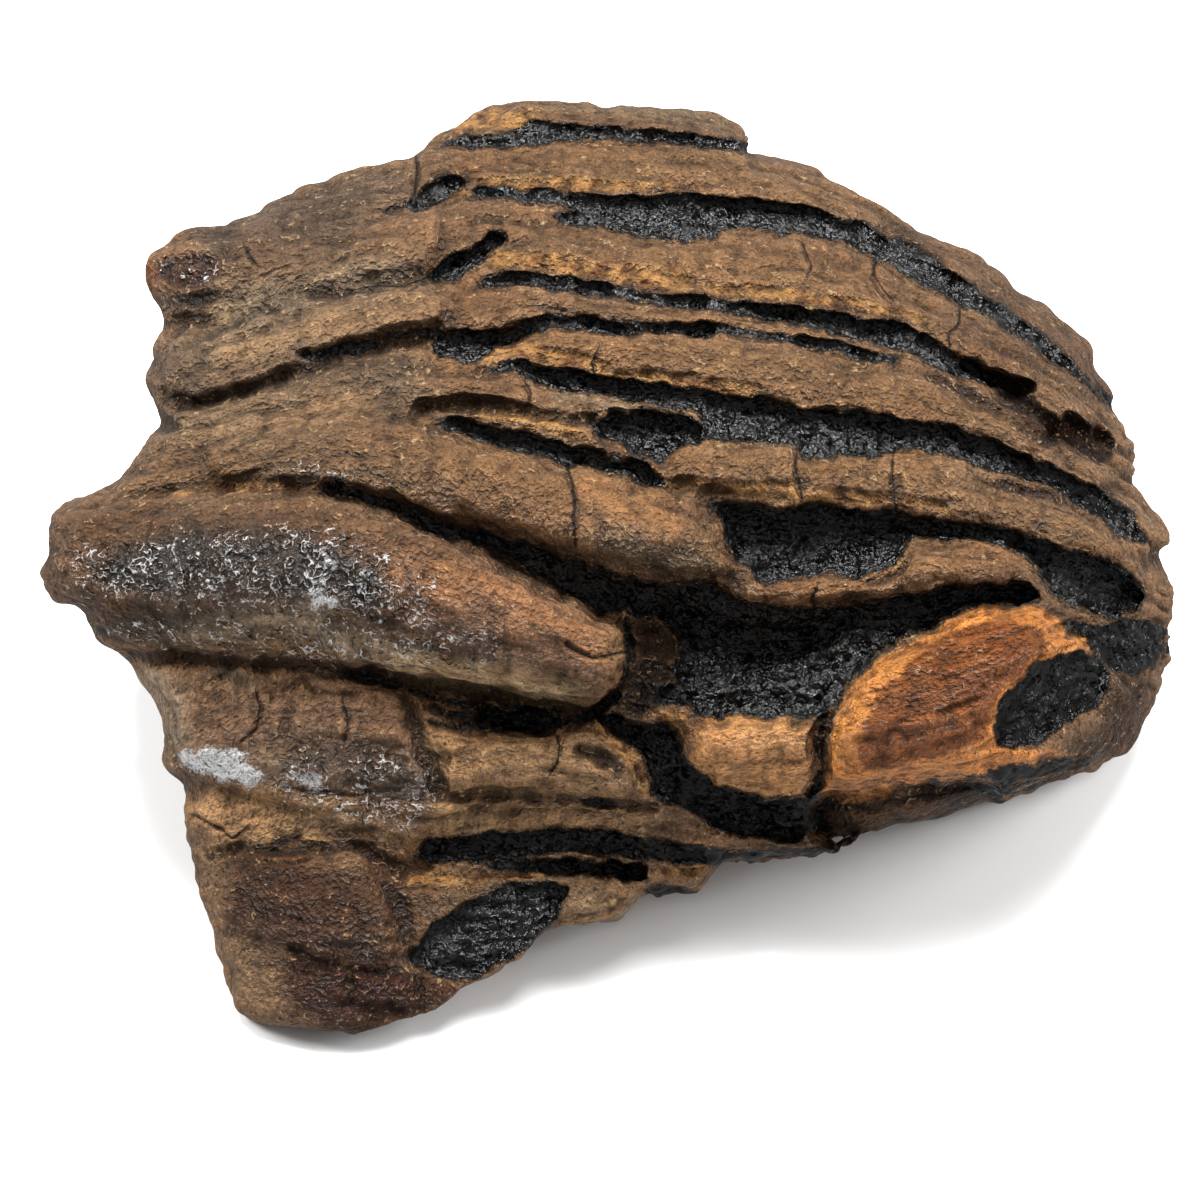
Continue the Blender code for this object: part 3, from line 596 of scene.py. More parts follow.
# Broad stains, some of them painted shade: a colour of the finish, how soft the edge is in steps, how strong,
# places and half widths.
STAINS = [
    ("crest", 12, 0.7, [(470, 162, 12), (600, 160, 14), (720, 172, 14), (820, 196, 12)]),
    ("crest", 14, 0.7, [(470, 235, 14), (560, 240, 14), (700, 262, 16), (850, 280, 16), (930, 300, 12)]),
    ("crest", 12, 0.7, [(520, 342, 12), (640, 350, 16), (760, 362, 18), (900, 392, 16), (990, 425, 10)]),
    ("crest", 14, 0.8, [(690, 460, 14), (780, 462, 14), (900, 470, 14), (1000, 502, 10), (1100, 545, 8)]),
    ("crest", 18, 0.7, [(410, 450, 20), (500, 478, 24), (556, 500, 20)]),
    ("lit", 12, 0.8, [(585, 486, 12), (625, 500, 16), (672, 520, 14)]),
    ("bleached", 8, 0.8, [(545, 106, 6), (620, 108, 8), (720, 122, 8)]),
    ("root", 34, 0.9, [(230, 245, 26), (330, 215, 36), (390, 190, 20)]),
    ("tan_zone", 18, 0.8, [(200, 800, 12), (250, 815, 16), (310, 822, 14), (345, 812, 8)]),
    ("stub", 30, 0.45, [(240, 245, 26), (330, 215, 30), (390, 190, 16)]),
    ("root", 34, 0.95, [(190, 350, 30), (290, 320, 46), (400, 270, 24)]),
    ("root", 30, 0.9, [(180, 430, 22), (300, 405, 34), (400, 380, 20)]),
    ("tan_zone", 18, 0.5, [(230, 350, 10), (330, 322, 12), (420, 308, 10)]),
    ("root_light", 18, 0.55, [(215, 300, 8), (300, 290, 8), (380, 270, 8)]),
    ("tan_zone", 20, 0.4, [(190, 435, 12), (280, 420, 16), (370, 400, 12)]),
    ("root_brown", 24, 0.8, [(150, 470, 14), (280, 462, 14), (380, 470, 18)]),
    ("root_brown", 20, 0.6, [(385, 240, 24), (430, 250, 16)]),
    ("root_brown", 20, 0.6, [(380, 305, 12), (440, 310, 16)]),
    # Around the root stubs these strokes are painted shadow; on the lobe they are a dark manganese stain.
    ("manganese_and_shadow", 12, 0.9, [(164, 306, 8), (190, 300, 12), (206, 290, 8)]),
    ("manganese_and_shadow", 14, 0.7, [(190, 232, 6), (225, 236, 10), (232, 262, 8)]),
    ("manganese_and_shadow", 18, 0.45, [(250, 300, 10), (300, 280, 10)]),
    ("manganese_and_shadow", 14, 0.5, [(330, 362, 6), (380, 362, 8), (400, 366, 6)]),
    ("manganese_and_shadow", 12, 0.6, [(395, 415, 6), (385, 402, 6)]),
    ("rust", 8, 0.9, [(148, 266, 8), (152, 290, 8)]),
    ("manganese_and_shadow", 18, 0.45, [(165, 372, 12), (200, 385, 12)]),
    ("lobe", 26, 0.9, [(80, 560, 44), (220, 570, 60), (400, 590, 70), (560, 655, 36)]),
    ("manganese_and_shadow", 18, 0.95, [(115, 575, 20), (180, 560, 36), (260, 560, 34), (330, 575, 36), (360, 590, 26)]),
    ("manganese_and_shadow", 16, 0.75, [(105, 625, 12), (160, 620, 18), (250, 625, 14)]),
    ("lobe_grey", 18, 0.8, [(200, 635, 12), (280, 622, 18), (350, 640, 16), (420, 655, 12)]),
    ("lobe_brown", 16, 0.8, [(60, 530, 14), (110, 520, 16), (160, 515, 10)]),
    ("lobe_brown", 16, 0.8, [(60, 575, 16), (90, 580, 10)]),
    ("lobe_nose", 20, 0.9, [(410, 575, 20), (500, 605, 22), (590, 645, 22)]),
    ("under_lobe", 20, 0.9, [(400, 672, 10), (480, 680, 12), (560, 695, 10)]),
    ("mosaic", 24, 0.95, [(170, 700, 40), (300, 720, 60), (400, 760, 44)]),
    ("root_light", 14, 0.7, [(150, 680, 10), (175, 700, 12), (180, 740, 10)]),
    ("root_light", 12, 0.5, [(268, 760, 8), (285, 778, 8)]),
    ("manganese_and_shadow", 16, 0.7, [(300, 755, 16), (380, 770, 20), (420, 790, 16)]),
    ("tan_zone", 18, 0.9, [(196, 808, 12), (250, 815, 20), (320, 822, 14)]),
    ("tan_zone", 12, 0.7, [(215, 845, 8), (235, 842, 8)]),
    ("mosaic_light", 18, 0.9, [(450, 755, 26), (540, 760, 28), (600, 780, 14)]),
    ("mosaic_light", 14, 0.8, [(440, 818, 12), (560, 815, 12), (640, 822, 10)]),
    ("mosaic_light", 12, 0.7, [(385, 830, 12), (410, 845, 10)]),
    ("stub", 20, 0.95, [(270, 890, 46), (330, 920, 54), (350, 1000, 50)]),
    ("stub_dark", 16, 0.8, [(300, 985, 18), (400, 995, 26)]),
    ("stub_dark", 14, 0.7, [(375, 865, 10), (392, 890, 12), (400, 930, 10)]),
    ("stub_light", 14, 0.7, [(206, 860, 6), (222, 930, 8), (232, 990, 8)]),
    ("stub_light", 16, 0.5, [(250, 970, 16), (262, 1010, 12)]),
    ("mosaic_light", 12, 0.8, [(570, 905, 8), (625, 898, 6)]),
    ("lobe_grey", 8, 0.8, [(545, 938, 4), (600, 918, 4), (632, 905, 4)]),
    ("olive", 14, 0.95, [(612, 548, 8), (650, 556, 12), (700, 560, 14), (735, 575, 8)]),
    ("lobe_grey", 10, 0.8, [(700, 424, 6), (740, 432, 5), (790, 440, 5)]),
    ("lobe_grey", 10, 0.6, [(560, 395, 8), (620, 408, 5), (690, 414, 3)]),
    # These strokes are painted shade: plate undersides, grooves, undercuts and the crown turned away from the
    # light.
    ("plate_shade", 10, 0.8, [(600, 443, 5), (640, 459, 6)]),
    ("plate_shade", 12, 0.7, [(540, 127, 4), (600, 130, 4), (690, 134, 4)]),
    ("plate_shade", 10, 0.8, [(886, 226, 4), (905, 238, 5), (925, 251, 6), (942, 261, 4)]),
    ("plate_shade", 10, 0.7, [(934, 374, 3), (966, 392, 5), (996, 410, 4)]),
    ("plate_shade", 8, 0.8, [(700, 292, 4), (760, 293, 4), (820, 304, 4), (900, 318, 4)]),
    ("plate_shade", 26, 0.55, [(1000, 290, 10), (1060, 336, 10), (1100, 390, 8)]),
    ("plate_shade", 18, 0.4, [(960, 330, 12), (1040, 366, 12), (1095, 400, 8)]),
    ("plate_shade", 12, 0.7, [(830, 838, 10), (900, 825, 10), (970, 808, 8)]),
    # These strokes are painted shade inside hollows and under overhangs.
    ("hollow_wall", 10, 0.9, [(1000, 402, 6), (1045, 428, 16), (1095, 440, 16)]),
    ("hollow_wall", 10, 0.95, [(645, 632, 10), (652, 660, 14), (645, 700, 12)]),
    ("hollow_wall", 8, 0.9, [(826, 808, 8), (900, 800, 8), (975, 793, 8)]),
    # Painted shade on the side of the crown turned away from the light.
    ("crown_side", 14, 0.8, [(1130, 690, 20), (1125, 730, 22), (1085, 752, 8)]),
    ("neck", 10, 0.9, [(770, 596, 8), (890, 590, 8), (930, 562, 16), (1010, 562, 18)]),
    ("hollow_wall", 10, 0.6, [(920, 583, 3), (960, 580, 3), (1010, 578, 4)]),
    ("hollow_wall", 10, 0.7, [(1050, 606, 5), (1080, 625, 5), (1046, 598, 4)]),
    ("crest", 10, 0.6, [(1150, 556, 8), (1162, 590, 8)]),
    ("rust", 10, 0.5, [(158, 268, 6), (180, 272, 8), (210, 268, 8)]),
    ("hollow_wall", 8, 0.7, [(170, 276, 6), (200, 280, 6)]),
]

# Patches with a clear edge, some of them painted shade in hollows: a colour of the finish, how strong,
# outline.
PATCHES = [
    ("island_small", 1.0, [
        (690, 728), (704, 718), (786, 718), (793, 726), (808, 722), (823, 726), (823, 746), (819, 768),
        (812, 784), (797, 795), (782, 798), (722, 785), (698, 775), (688, 765), (695, 746),
    ]),
    ("island_rim", 1.0, [
        (822, 797), (824, 780), (826, 753), (836, 724), (840, 705), (851, 686), (870, 667), (892, 652),
        (916, 639), (934, 631), (949, 619), (972, 609), (994, 607), (1009, 611), (1028, 605), (1046, 611),
        (1061, 623), (1065, 634), (1092, 638), (1093, 650), (1076, 653), (1050, 657), (1028, 668),
        (1020, 683),
        (1001, 701), (994, 724), (996, 748), (1030, 750), (1065, 752), (1009, 768), (972, 776), (935, 782),
        (898, 785), (886, 796), (860, 804), (841, 804),
    ]),
    ("island_large", 0.9, [
        (862, 770), (858, 745), (866, 715), (884, 690), (905, 668), (928, 648), (955, 628), (985, 621),
        (1015, 621), (1042, 631), (1050, 645), (1020, 672), (1003, 690), (990, 712), (985, 740),
        (960, 752), (920, 760),
        (890, 768),
    ]),
    ("raw", 0.8, [(650, 713), (667, 710), (682, 713), (693, 718), (690, 740), (677, 730), (660, 723)]),
    # Painted shade in the hollows: this patch and the later ones of the same colour.
    ("hollow_wall", 0.8, [
        (954, 355), (990, 369), (1027, 380), (1036, 388), (1031, 396), (1043, 411), (1058, 416), (1072, 411),
        (1085, 419), (1096, 424), (1111, 430), (1117, 440), (1112, 456), (1099, 468), (1087, 458),
        (1077, 446),
        (1059, 441), (1046, 445), (1044, 423), (1016, 408), (998, 395), (970, 378),
    ]),
    ("hollow_wall", 0.75, BARE_POOLS["plate_slit"][0]),
    ("stub_dark", 0.6, BARE_POOLS["root_recess"][0]),
    ("stub_dark", 0.7, [(158, 262), (190, 251), (223, 262), (222, 276), (190, 290), (156, 276)]),
    ("hollow_wall", 0.7, BARE_POOLS["column_hole"][0]),
    ("lobe_grey", 0.8, BARE_POOLS["scar"][0]),
    ("stub_dark", 0.8, [(292, 960), (346, 972), (346, 1003), (320, 1008), (294, 1006)]),
    ("stub_dark", 0.8, [(354, 973), (398, 974), (462, 988), (440, 1008), (400, 1012), (354, 1004)]),
    ("stub_dark", 0.7, [(224, 908), (247, 908), (248, 938), (226, 936)]),
    ("hollow_wall", 0.6, [(576, 748), (600, 752), (622, 766), (616, 774), (590, 764), (576, 756)]),
]

# Wet-looking dark areas outside the cementum, and painted white glints.
GLOSS = [
    [(90, 570, 24), (210, 572, 40), (330, 575, 46), (400, 600, 40)],
    [(110, 630, 10), (330, 640, 20), (480, 650, 20)],
    [(180, 765, 8), (250, 772, 10)],
    [(300, 780, 30), (400, 790, 40)],
    [(165, 268, 10), (205, 272, 14)],
    [(290, 470, 12), (350, 485, 12)],
]
PAINTED_GLINTS = [
    [(192, 757, 10), (222, 764, 17), (250, 775, 11)],
    [(298, 776, 3), (316, 784, 4)],
    [(324, 548, 3), (332, 565, 4)],
    [(320, 580, 2), (316, 602, 4), (330, 606, 3)],
    [(448, 933, 3), (452, 938, 3)],
]

# How far drawn edges are broken up in steps, and how large the breaks are.
EDGE_BREAK = 4.6
EDGE_BREAK_SIZE = 15.0
GLOSS_BREAK = 10.0
PAINTED_GLINT_BREAK = 8.0
STAIN_BREAK = 10.0
STAIN_BREAK_SIZE = 30.0
CRACK_BREAK = 3.0
CRACK_BREAK_SIZE = 22.0

# Crumbled edges have a wall this wide, and soft edges run from inside to outside, all in steps.
WORN_WALL = 4.0
WORN_EDGE = (-1.5, 2.0)
FILLED_EDGE = (-1.5, 1.5)
PATCH_EDGE = (-2.0, 2.0)

# A crack's cut runs out between these shares of its half width, which is widened by the last number.
CRACK_EDGE = (0.3, 1.5)
CRACK_WIDENING = 0.8

# Fine relief: size along, across and into the plates in mm, or one size all round, and height in mm.
LUMP_SIZE, LUMP_HEIGHT = (14.0, 5.0, 8.0), 1.7
RIPPLE_SIZE, RIPPLE_HEIGHT = (9.0, 2.4, 5.0), 0.8
STREAK_SIZE, STREAK_HEIGHT = (5.0, 2.0, 2.6), 1.9
CRAG_SIZE, PLATE_CRAG_HEIGHT, CEMENTUM_CRAG_HEIGHT = 5.5, 1.1, 0.8
CRUMB_SIZE, CRUMB_HEIGHT, CRUMB_DEPTH = 2.2, 0.9, 0.3

# The roots start here, in steps across, and their lumps are lower by this share.
ROOT_START, ROOT_WHOLE = 480.0, 380.0
ROOT_SMOOTHING = 0.35

# Thinning: how far a place has to turn away from the viewer, in how many levels, and how strongly.
THIN_TURN = (-0.5, 0.1)
THIN_LEVELS = 4
THIN_FACTOR = 1.5

# A hollow is measured over few and over many rounds of neighbours, and the second counts less.
FEW_ROUNDS = 2
MANY_ROUNDS = 12
MANY_SHARE = 0.45

# Colour that varies over the tooth: size in mm, and strength.
CLOUD_SIZE, CLOUD_STRENGTH = 8.0, 0.6
BAND_SIZE, BAND_STRENGTH = (12.0, 2.8, 6.0), 0.3
WARMTH_SIZE, WARMTH = 12.0, (0.18, 0.02, -0.14)

# The colours are as they look under the bright lights, and the surface itself is darker by this much.
SHADE = (0.470, 0.430, 0.335)

# Along, across and into the plates: less than 1 draws the streaks out that way.
GRAIN_STRETCH = (0.70, 1.0, 0.85)

# Numbers that mix a cell's place and the seed into a random value.
CELL_MIXERS = (374761393, 668265263, 1442695041)
SEED_MIXER = 974634777
LAST_MIXER = 1274126177

# Spots that are worked out together, so that the memory lasts.
CHUNK = 50000

# Lights: place and size in metres. The right side light is weaker than the left one by its share.
LIGHT_TARGET = (0.0, 0.0, 0.04)
SOFTBOX_PLACE = (0.09, 0.20, 1.0)
SOFTBOX_SIZE = 0.60
SPARK_PLACE = (-0.30, 0.10, 0.80)
SPARK_SIZE = 0.10
LEFT_PLACE = (-0.50, 0.05, 0.40)
RIGHT_PLACE = (0.45, -0.02, 0.22)
RIGHT_SHARE = 0.65
SIDE_SIZE = 0.25

# The card's width and the nearest place that the camera sees, in metres, and the camera's sensor in mm.
CARD_SIZE = 6.0
CARD_ROUGHNESS = 0.7
CLIP_START = 0.01
SENSOR_WIDTH = 36.0


def srgb(text):
    """Linear colour of an sRGB hex value."""
    parts = [int(text[i : i + 2], 16) / 255 for i in (1, 3, 5)]
    return tuple(c / 12.92 if c <= 0.04045 else ((c + 0.055) / 1.055) ** 2.4 for c in parts)


def length(name, description, default):
    return FloatProperty(name=name, description=description, default=default, unit="LENGTH", min=0.0)


def power(name, description, default):
    return FloatProperty(name=name, description=description, default=default, unit="POWER", min=0.0)


def colour(name, description, default):
    return FloatVectorProperty(
        name=name, description=description, default=srgb(default), subtype="COLOR", size=3, min=0.0, max=1.0
    )


class ToothForm(PropertyGroup):
    plate_spacing: length("Plate spacing", "Distance between ridge plates", 0.012)
    far_band_depth: length("Far band depth", "How deep the cementum lies behind the rim", 0.0022)
    worn_depth: length("Worn depth", "How far crumbled edges have broken back", 0.0005)
    crack_depth: length("Crack depth", "How deep the cracks are cut", 0.0004)
    first_voxel: length("First voxel", "Mesh spacing of the rough form", 0.0008)
    last_voxel: length("Last voxel", "Mesh spacing before the fine relief", 0.00055)
    aimed_triangles: IntProperty(
        name="Triangles aimed at",
        description="The near side is never thinned, so the finished mesh has more",
        default=198000,
    )


class ToothFinish(PropertyGroup):
    plate: colour("Plate", "Mineralised enamel and dentine", "#88684f")
    crest: colour("Crest", "Rubbed crests of the plates", "#8b6a4d")
    lit: colour("Light plate", "Palest part of the root plate", "#b2835c")
    bleached: colour("Bleached", "Chalky top plate", "#84705d")
    root: colour("Root", "Grey-brown root dentine", "#7c6b5f")
    root_light: colour("Root crest", "Pale ridges of the roots", "#bca894")
    root_brown: colour("Brown root", "Where the roots join the plates", "#8a6c54")
    manganese_and_shadow: colour("Smoke", "Dark manganese stain", "#3c3430")
    # Dark manganese stain on the lobe, and painted shadow around the root stubs.
    rust: colour("Rust", "Iron stain at the stub", "#7d4a28")
    lobe: colour("Lobe", "The big root lobe", "#745542")
    lobe_grey: colour("Grey lobe", "Grey film on the lobe", "#a79686")
    lobe_brown: colour("Brown lobe", "Warm start of the lobe", "#6c4e37")
    lobe_nose: colour("Lobe nose", "Warm end of the lobe", "#b27f5c")
    under_lobe: colour("Under lobe", "Shaded side of the lobe", "#e6c7a6")
    mosaic: colour("Mosaic", "Cracked root column", "#967560")
    mosaic_light: colour("Light mosaic", "Paler dentine below the lobe", "#b08d6c")
    tan_zone: colour("Tan zone", "Pale patch of the column", "#cfa47c")
    stub: colour("Stub", "Broken lower root", "#4d2f1d")
    stub_dark: colour("Dark stub", "Foot of the lower root", "#4a2614")
    stub_light: colour("Light stub", "Grey edge of the lower root", "#a98869")
    olive: colour("Olive", "Greenish end of the root plate", "#5a4934")
    # Painted shade: bare dentine darkened inside hollows and under overhangs.
    hollow_wall: colour("Hollow wall", "Bare dentine inside hollows", "#33190a")
    # Painted shade on plates turned away from the light, on their undersides and in undercuts.
    plate_shade: colour("Dark plate", "Plates turned away", "#301a10")
    island_small: colour("Small island", "Worn dentine island", "#d89f6c")
    island_large: colour("Large island", "Worn dentine island", "#8b4d20")
    island_rim: colour("Island rim", "Enamel rim of the island", "#e09450")
    neck: colour("Neck", "Thin plate in the chewing face", "#8a6548")
    # Painted shade on the side of the crown turned away from the light.
    crown_side: colour("Crown side", "Turned side of the crown", "#3e2717")
    raw: colour("Raw dentine", "Freshly crumbled edges", "#c4945f")
    raw_dark: colour("Dark raw dentine", "Pits in crumbled edges", "#80502c")
    cementum: colour("Cementum", "Glossy black filling", "#0c0b0b")
    # Grey on the raised spots of the cementum: partly wear, partly a painted sheen.
    cementum_grey: colour("Grey cementum", "Abraded high spots", "#2e2d2c")
    dirt: colour("Dirt", "Soil held in cracks", "#1b1410")
    # Painted glints: pale flecks over the plates.
    cream_glint: colour("Cream", "Pale flaking film on the plates", "#e8c8a4")
    # Painted glints: white flecks over the glossy stains, and white glint spots on the lobe and column.
    chalk: colour("Chalk", "White mineral crust", "#ffffff")


class ToothStudio(PropertyGroup):
    lens: FloatProperty(name="Lens", description="Focal length in mm", default=120.0, unit="CAMERA", min=1.0)
    softbox_power: power("Softbox", "Power of the large soft light", 20.0)
    spark_power: power("Small light", "Power of the light that makes glints", 3.0)
    side_power: power("Side lights", "Power of the left side light", 4.5)
    sky: FloatProperty(name="Sky", description="Strength of the white surroundings", default=0.31, min=0.0)
    card: colour("Card", "White card under the tooth", "#f4f4f4")


def smoothstep(low, high, value):
    t = np.clip((value - low) / (high - low), 0.0, 1.0)
    return t * t * (3.0 - 2.0 * t)


def noise(points, seed):
    """Smooth random values from 0 to 1, one unit apart, in two or three directions."""
    cell = np.floor(points)
    part = (points - cell).astype(np.float32)
    part = part * part * (3.0 - 2.0 * part)
    mixers = CELL_MIXERS[: points.shape[1]]
    cell = cell.astype(np.int64) * mixers
    total = np.zeros(len(points), np.float32)
    for corner in np.ndindex(*[2] * points.shape[1]):
        moved = np.multiply(corner, mixers)
        mixed = ((cell + moved).sum(axis=1) + seed * SEED_MIXER) & 0xFFFFFFFF
        mixed = ((mixed ^ (mixed >> 13)) * LAST_MIXER) & 0xFFFFFFFF
        value = ((mixed ^ (mixed >> 16)) & 0xFFFF).astype(np.float32) / 65535.0
        total += value * np.prod(np.where(corner, part, 1.0 - part), axis=1)
    return total


def layered_noise(points, seed, layers, shaped=None):
    """Noise with finer and weaker layers added, each one shaped first by a function if that is given."""
    total, weight = 0.0, 0.0
    for layer in range(layers):
        share = 0.5**layer
        value = noise(points * 2.0**layer, seed + layer)
        total = total + share * (shaped(value) if shaped else value)
        weight += share
    return total / weight


def creased(value):
    """Rounded lumps with sharp creases between them, from 0 in the creases to 1."""
    return np.abs(2.0 * value - 1.0)


class View:
    """The layout view: from steps and depth to the tooth's place in metres, and back."""

    def __init__(self, form):
        self.step = form.plate_spacing / STEPS_BETWEEN_PLATES

    def place(self, px, py, depth):
        scale = self.step * (1.0 - depth * MM / VIEW_DISTANCE)
        return (
            CENTRE_PLACE
            + ((px - VIEW_CENTRE[0]) * scale)[:, None] * ACROSS
            + ((VIEW_CENTRE[1] - py) * scale)[:, None] * UPWARDS
            + (depth * MM)[:, None] * NEARER
        )

    def spot(self, points):
        from_centre = points - CENTRE_PLACE
        depth = from_centre @ NEARER
        scale = self.step * (1.0 - depth / VIEW_DISTANCE)
        return (
            VIEW_CENTRE[0] + from_centre @ ACROSS / scale,
            VIEW_CENTRE[1] - from_centre @ UPWARDS / scale,
            depth / MM,
        )


def around_hub(rows, angle):
    """Values of the rows, interpolated by the angle of each row's place around the hub."""
    rows = np.array(rows, float)
    turn = np.arctan2(rows[:, 1] - HUB[1], rows[:, 0] - HUB[0])
    rows, turn = rows[np.argsort(turn)], np.sort(turn)
    return [np.interp(angle, turn, values, period=2 * math.pi) for values in rows[:, 2:].T]


def outline_reach(angle):
    """Distance from the hub to the outline, along each angle."""
    rays = np.linspace(-math.pi, math.pi, RAYS)
    points = np.array(OUTLINE, float) - HUB
    edge = (np.roll(points, -1, axis=0) - points)[None]
    start = points[None]
    ray = np.stack([np.cos(rays), np.sin(rays)], axis=1)[:, None, :]
    cross = ray[..., 0] * edge[..., 1] - ray[..., 1] * edge[..., 0]
    cross = np.where(np.abs(cross) < TINY, TINY, cross)
    along_ray = (start[..., 0] * edge[..., 1] - start[..., 1] * edge[..., 0]) / cross
    along_edge = (start[..., 0] * ray[..., 1] - start[..., 1] * ray[..., 0]) / cross
    hit = (along_edge >= -TINY) & (along_edge <= 1 + TINY) & (along_ray > 0)
    return np.interp(angle, rays, np.where(hit, along_ray, 0.0).max(axis=1))


def thin_plate(rows):
    """Smooth height through the rows' places and values."""
    rows = np.array(rows, float)
    spots, values = rows[:, :2] / VIEW_CENTRE, rows[:, 2]

    def kernel(ax, ay, bx, by):
        square = (ax[:, None] - bx[None]) ** 2 + (ay[:, None] - by[None]) ** 2
        return square * np.log(square + TINY)

    count = len(rows)
    flat = np.column_stack([np.ones(count), spots])
    system = np.zeros((count + 3, count + 3))
    system[:count, :count] = kernel(spots[:, 0], spots[:, 1], spots[:, 0], spots[:, 1])
    system[:count, count:] = flat
    system[count:, :count] = flat.T
    weights = np.linalg.solve(system, np.concatenate([values, np.zeros(3)]))

    def height(px, py):
        found = np.empty(len(px))
        for start in range(0, len(px), CHUNK):
            part = slice(start, start + CHUNK)
            x, y = px[part] / VIEW_CENTRE[0], py[part] / VIEW_CENTRE[1]
            found[part] = kernel(x, y, spots[:, 0], spots[:, 1]) @ weights[:count]
            found[part] += weights[count] + weights[count + 1] * x + weights[count + 2] * y
        return found

    return height


def in_reach(spots, px, py, reach):
    low, high = spots.min(axis=0) - reach, spots.max(axis=0) + reach
    return np.flatnonzero((px > low[0]) & (px < high[0]) & (py > low[1]) & (py < high[1]))


def to_edge(x, y, ax, ay, bx, by):
    """Distance of each spot to the line from a to b, and how far along the line it is."""
    t = ((x - ax) * (bx - ax) + (y - ay) * (by - ay)) / ((bx - ax) ** 2 + (by - ay) ** 2)
    t = np.clip(t, 0.0, 1.0)
    return np.hypot(x - ax - t * (bx - ax), y - ay - t * (by - ay)), t


def stroke(path, px, py, reach):
    """Spots within reach of a stroke, how far outside it they are, and its half width there."""
    spots = np.array(path, float)
    close = in_reach(spots[:, :2], px, py, spots[:, 2].max() + reach)
    x, y = px[close], py[close]
    best = np.full(len(close), np.inf)
    width = np.ones(len(close))
    for (ax, ay, ar), (bx, by, br) in zip(path, path[1:]):
        distance, t = to_edge(x, y, ax, ay, bx, by)
        radius = ar + (br - ar) * t
        nearer = distance - radius < best
        best = np.where(nearer, distance - radius, best)
        width = np.where(nearer, radius, width)
    return close, best, width


def area(outline, px, py, reach):
    """Spots within reach of an outline, and how far outside it they are, which is below zero inside."""
    corners = np.array(outline, float)
    close = in_reach(corners, px, py, reach)
    x, y = px[close], py[close]
    best = np.full(len(close), np.inf)
    inside = np.zeros(len(close), bool)
    for (ax, ay), (bx, by) in zip(corners, np.roll(corners, -1, axis=0)):
        best = np.minimum(best, to_edge(x, y, ax, ay, bx, by)[0])
        if ay != by:
            inside ^= ((ay > y) != (by > y)) & (x < ax + (y - ay) * (bx - ax) / (by - ay))
    return close, np.where(inside, -best, best)


def crack_line(path, px, py, reach):
    """Spots within reach of a line, how far from it they are, and on which side."""
    close = in_reach(np.array(path, float), px, py, reach)
    x, y = px[close], py[close]
    best = np.full(len(close), np.inf)
    sign = np.ones(len(close))
    for (ax, ay), (bx, by) in zip(path, path[1:]):
        distance, _ = to_edge(x, y, ax, ay, bx, by)
        nearer = distance < best
        best = np.where(nearer, distance, best)
        sign = np.where(nearer, np.sign((bx - ax) * (y - ay) - (by - ay) * (x - ax)), sign)
    return close, best, sign


def dip(low, close, distance, depth, wall):
    """Sinks the spots to a depth, down a wall that starts at the edge and ends inside it."""
    low[close] = np.minimum(low[close], -depth * (1.0 - smoothstep(-wall, 1.0, distance)))


def carve(low, path, px, py, depth, wall):
    """Sinks a stroke, whose wall starts a little outside it."""
    close, distance, _ = stroke(path, px, py, wall)
    low[close] = np.minimum(low[close], -depth * (1.0 - smoothstep(-0.3 * wall, 0.8 * wall, distance)))


def raise_up(high, path, px, py, height):
    close, distance, width = stroke(path, px, py, 0.0)
    inward = np.clip(-distance / width, 0.0, 1.0)
    high[close] = np.maximum(high[close], height * np.sqrt(1.0 - (1.0 - inward) ** 2))


def closer(away, close, distance, offset=0.0):
    extra = offset[close] if np.ndim(offset) else offset
    away[close] = np.minimum(away[close], distance + extra)


def ragged(px, py, amount, size):
    """Spots moved a little, so that edges drawn from a few points come out broken and uneven."""
    flat = np.stack([px, py], axis=1) / size
    return (
        px + amount * 2.0 * (layered_noise(flat, 11, 3) - 0.5),
        py + amount * 2.0 * (layered_noise(flat, 29, 3) - 0.5),
    )


class Relief:
    """What is carved into and raised on the tooth, by the spot and by how far behind the near side it is."""

    def __init__(self, form):
        self.far_band_depth = form.far_band_depth / MM
        self.worn_depth = form.worn_depth / MM

    def near(self, px, py):
        rx, ry = ragged(px, py, EDGE_BREAK, EDGE_BREAK_SIZE)
        low = np.zeros(len(px))
        for path in WORN:
            carve(low, path, rx, ry, self.worn_depth, WORN_WALL)
        for outline, depth, wall in BARE_POOLS.values():
            dip(low, *area(outline, rx, ry, 2.0), depth, wall)
        for path, depth, wall in GROOVES.values():
            carve(low, path, rx, ry, depth, wall)
        away = np.full(len(px), FAR_OFF)
        for outline, depth, wall in POOLS.values():
            close, distance = area(outline, rx, ry, FAR_OFF)
            dip(low, close, distance, depth, wall)
            closer(away, close, distance)
        for path, depth, wall in (*DEEPS.values(), *THREADS.values()):
            carve(low, path, rx, ry, depth, wall)
        high = CREST * (1.0 - np.exp(-np.maximum(away, 0.0) / CREST_REACH))
        swell = np.zeros(len(px))
        for path, height in LOBES.values():
            raise_up(swell, path, px, py, height)
        for outline, height, edge in BLOCKS.values():
            close, distance = area(outline, rx, ry, 0.0)
            high[close] += height * smoothstep(0.0, edge, -distance)
        return low + high + swell

    def far(self, px, py, behind):
        rx, ry = ragged(px, py - FAR_SHIFT * smoothstep(0.0, FAR_BLEND, behind), EDGE_BREAK, EDGE_BREAK_SIZE)
        low = np.zeros(len(px))
        for path in BANDS + FAR_BANDS:
            carve(low, path, rx, ry, self.far_band_depth, FAR_WALL)
        high = np.zeros(len(px))
        for path, height in FAR_LOBES.values():
            raise_up(high, path, px, py, height)
        return low, high


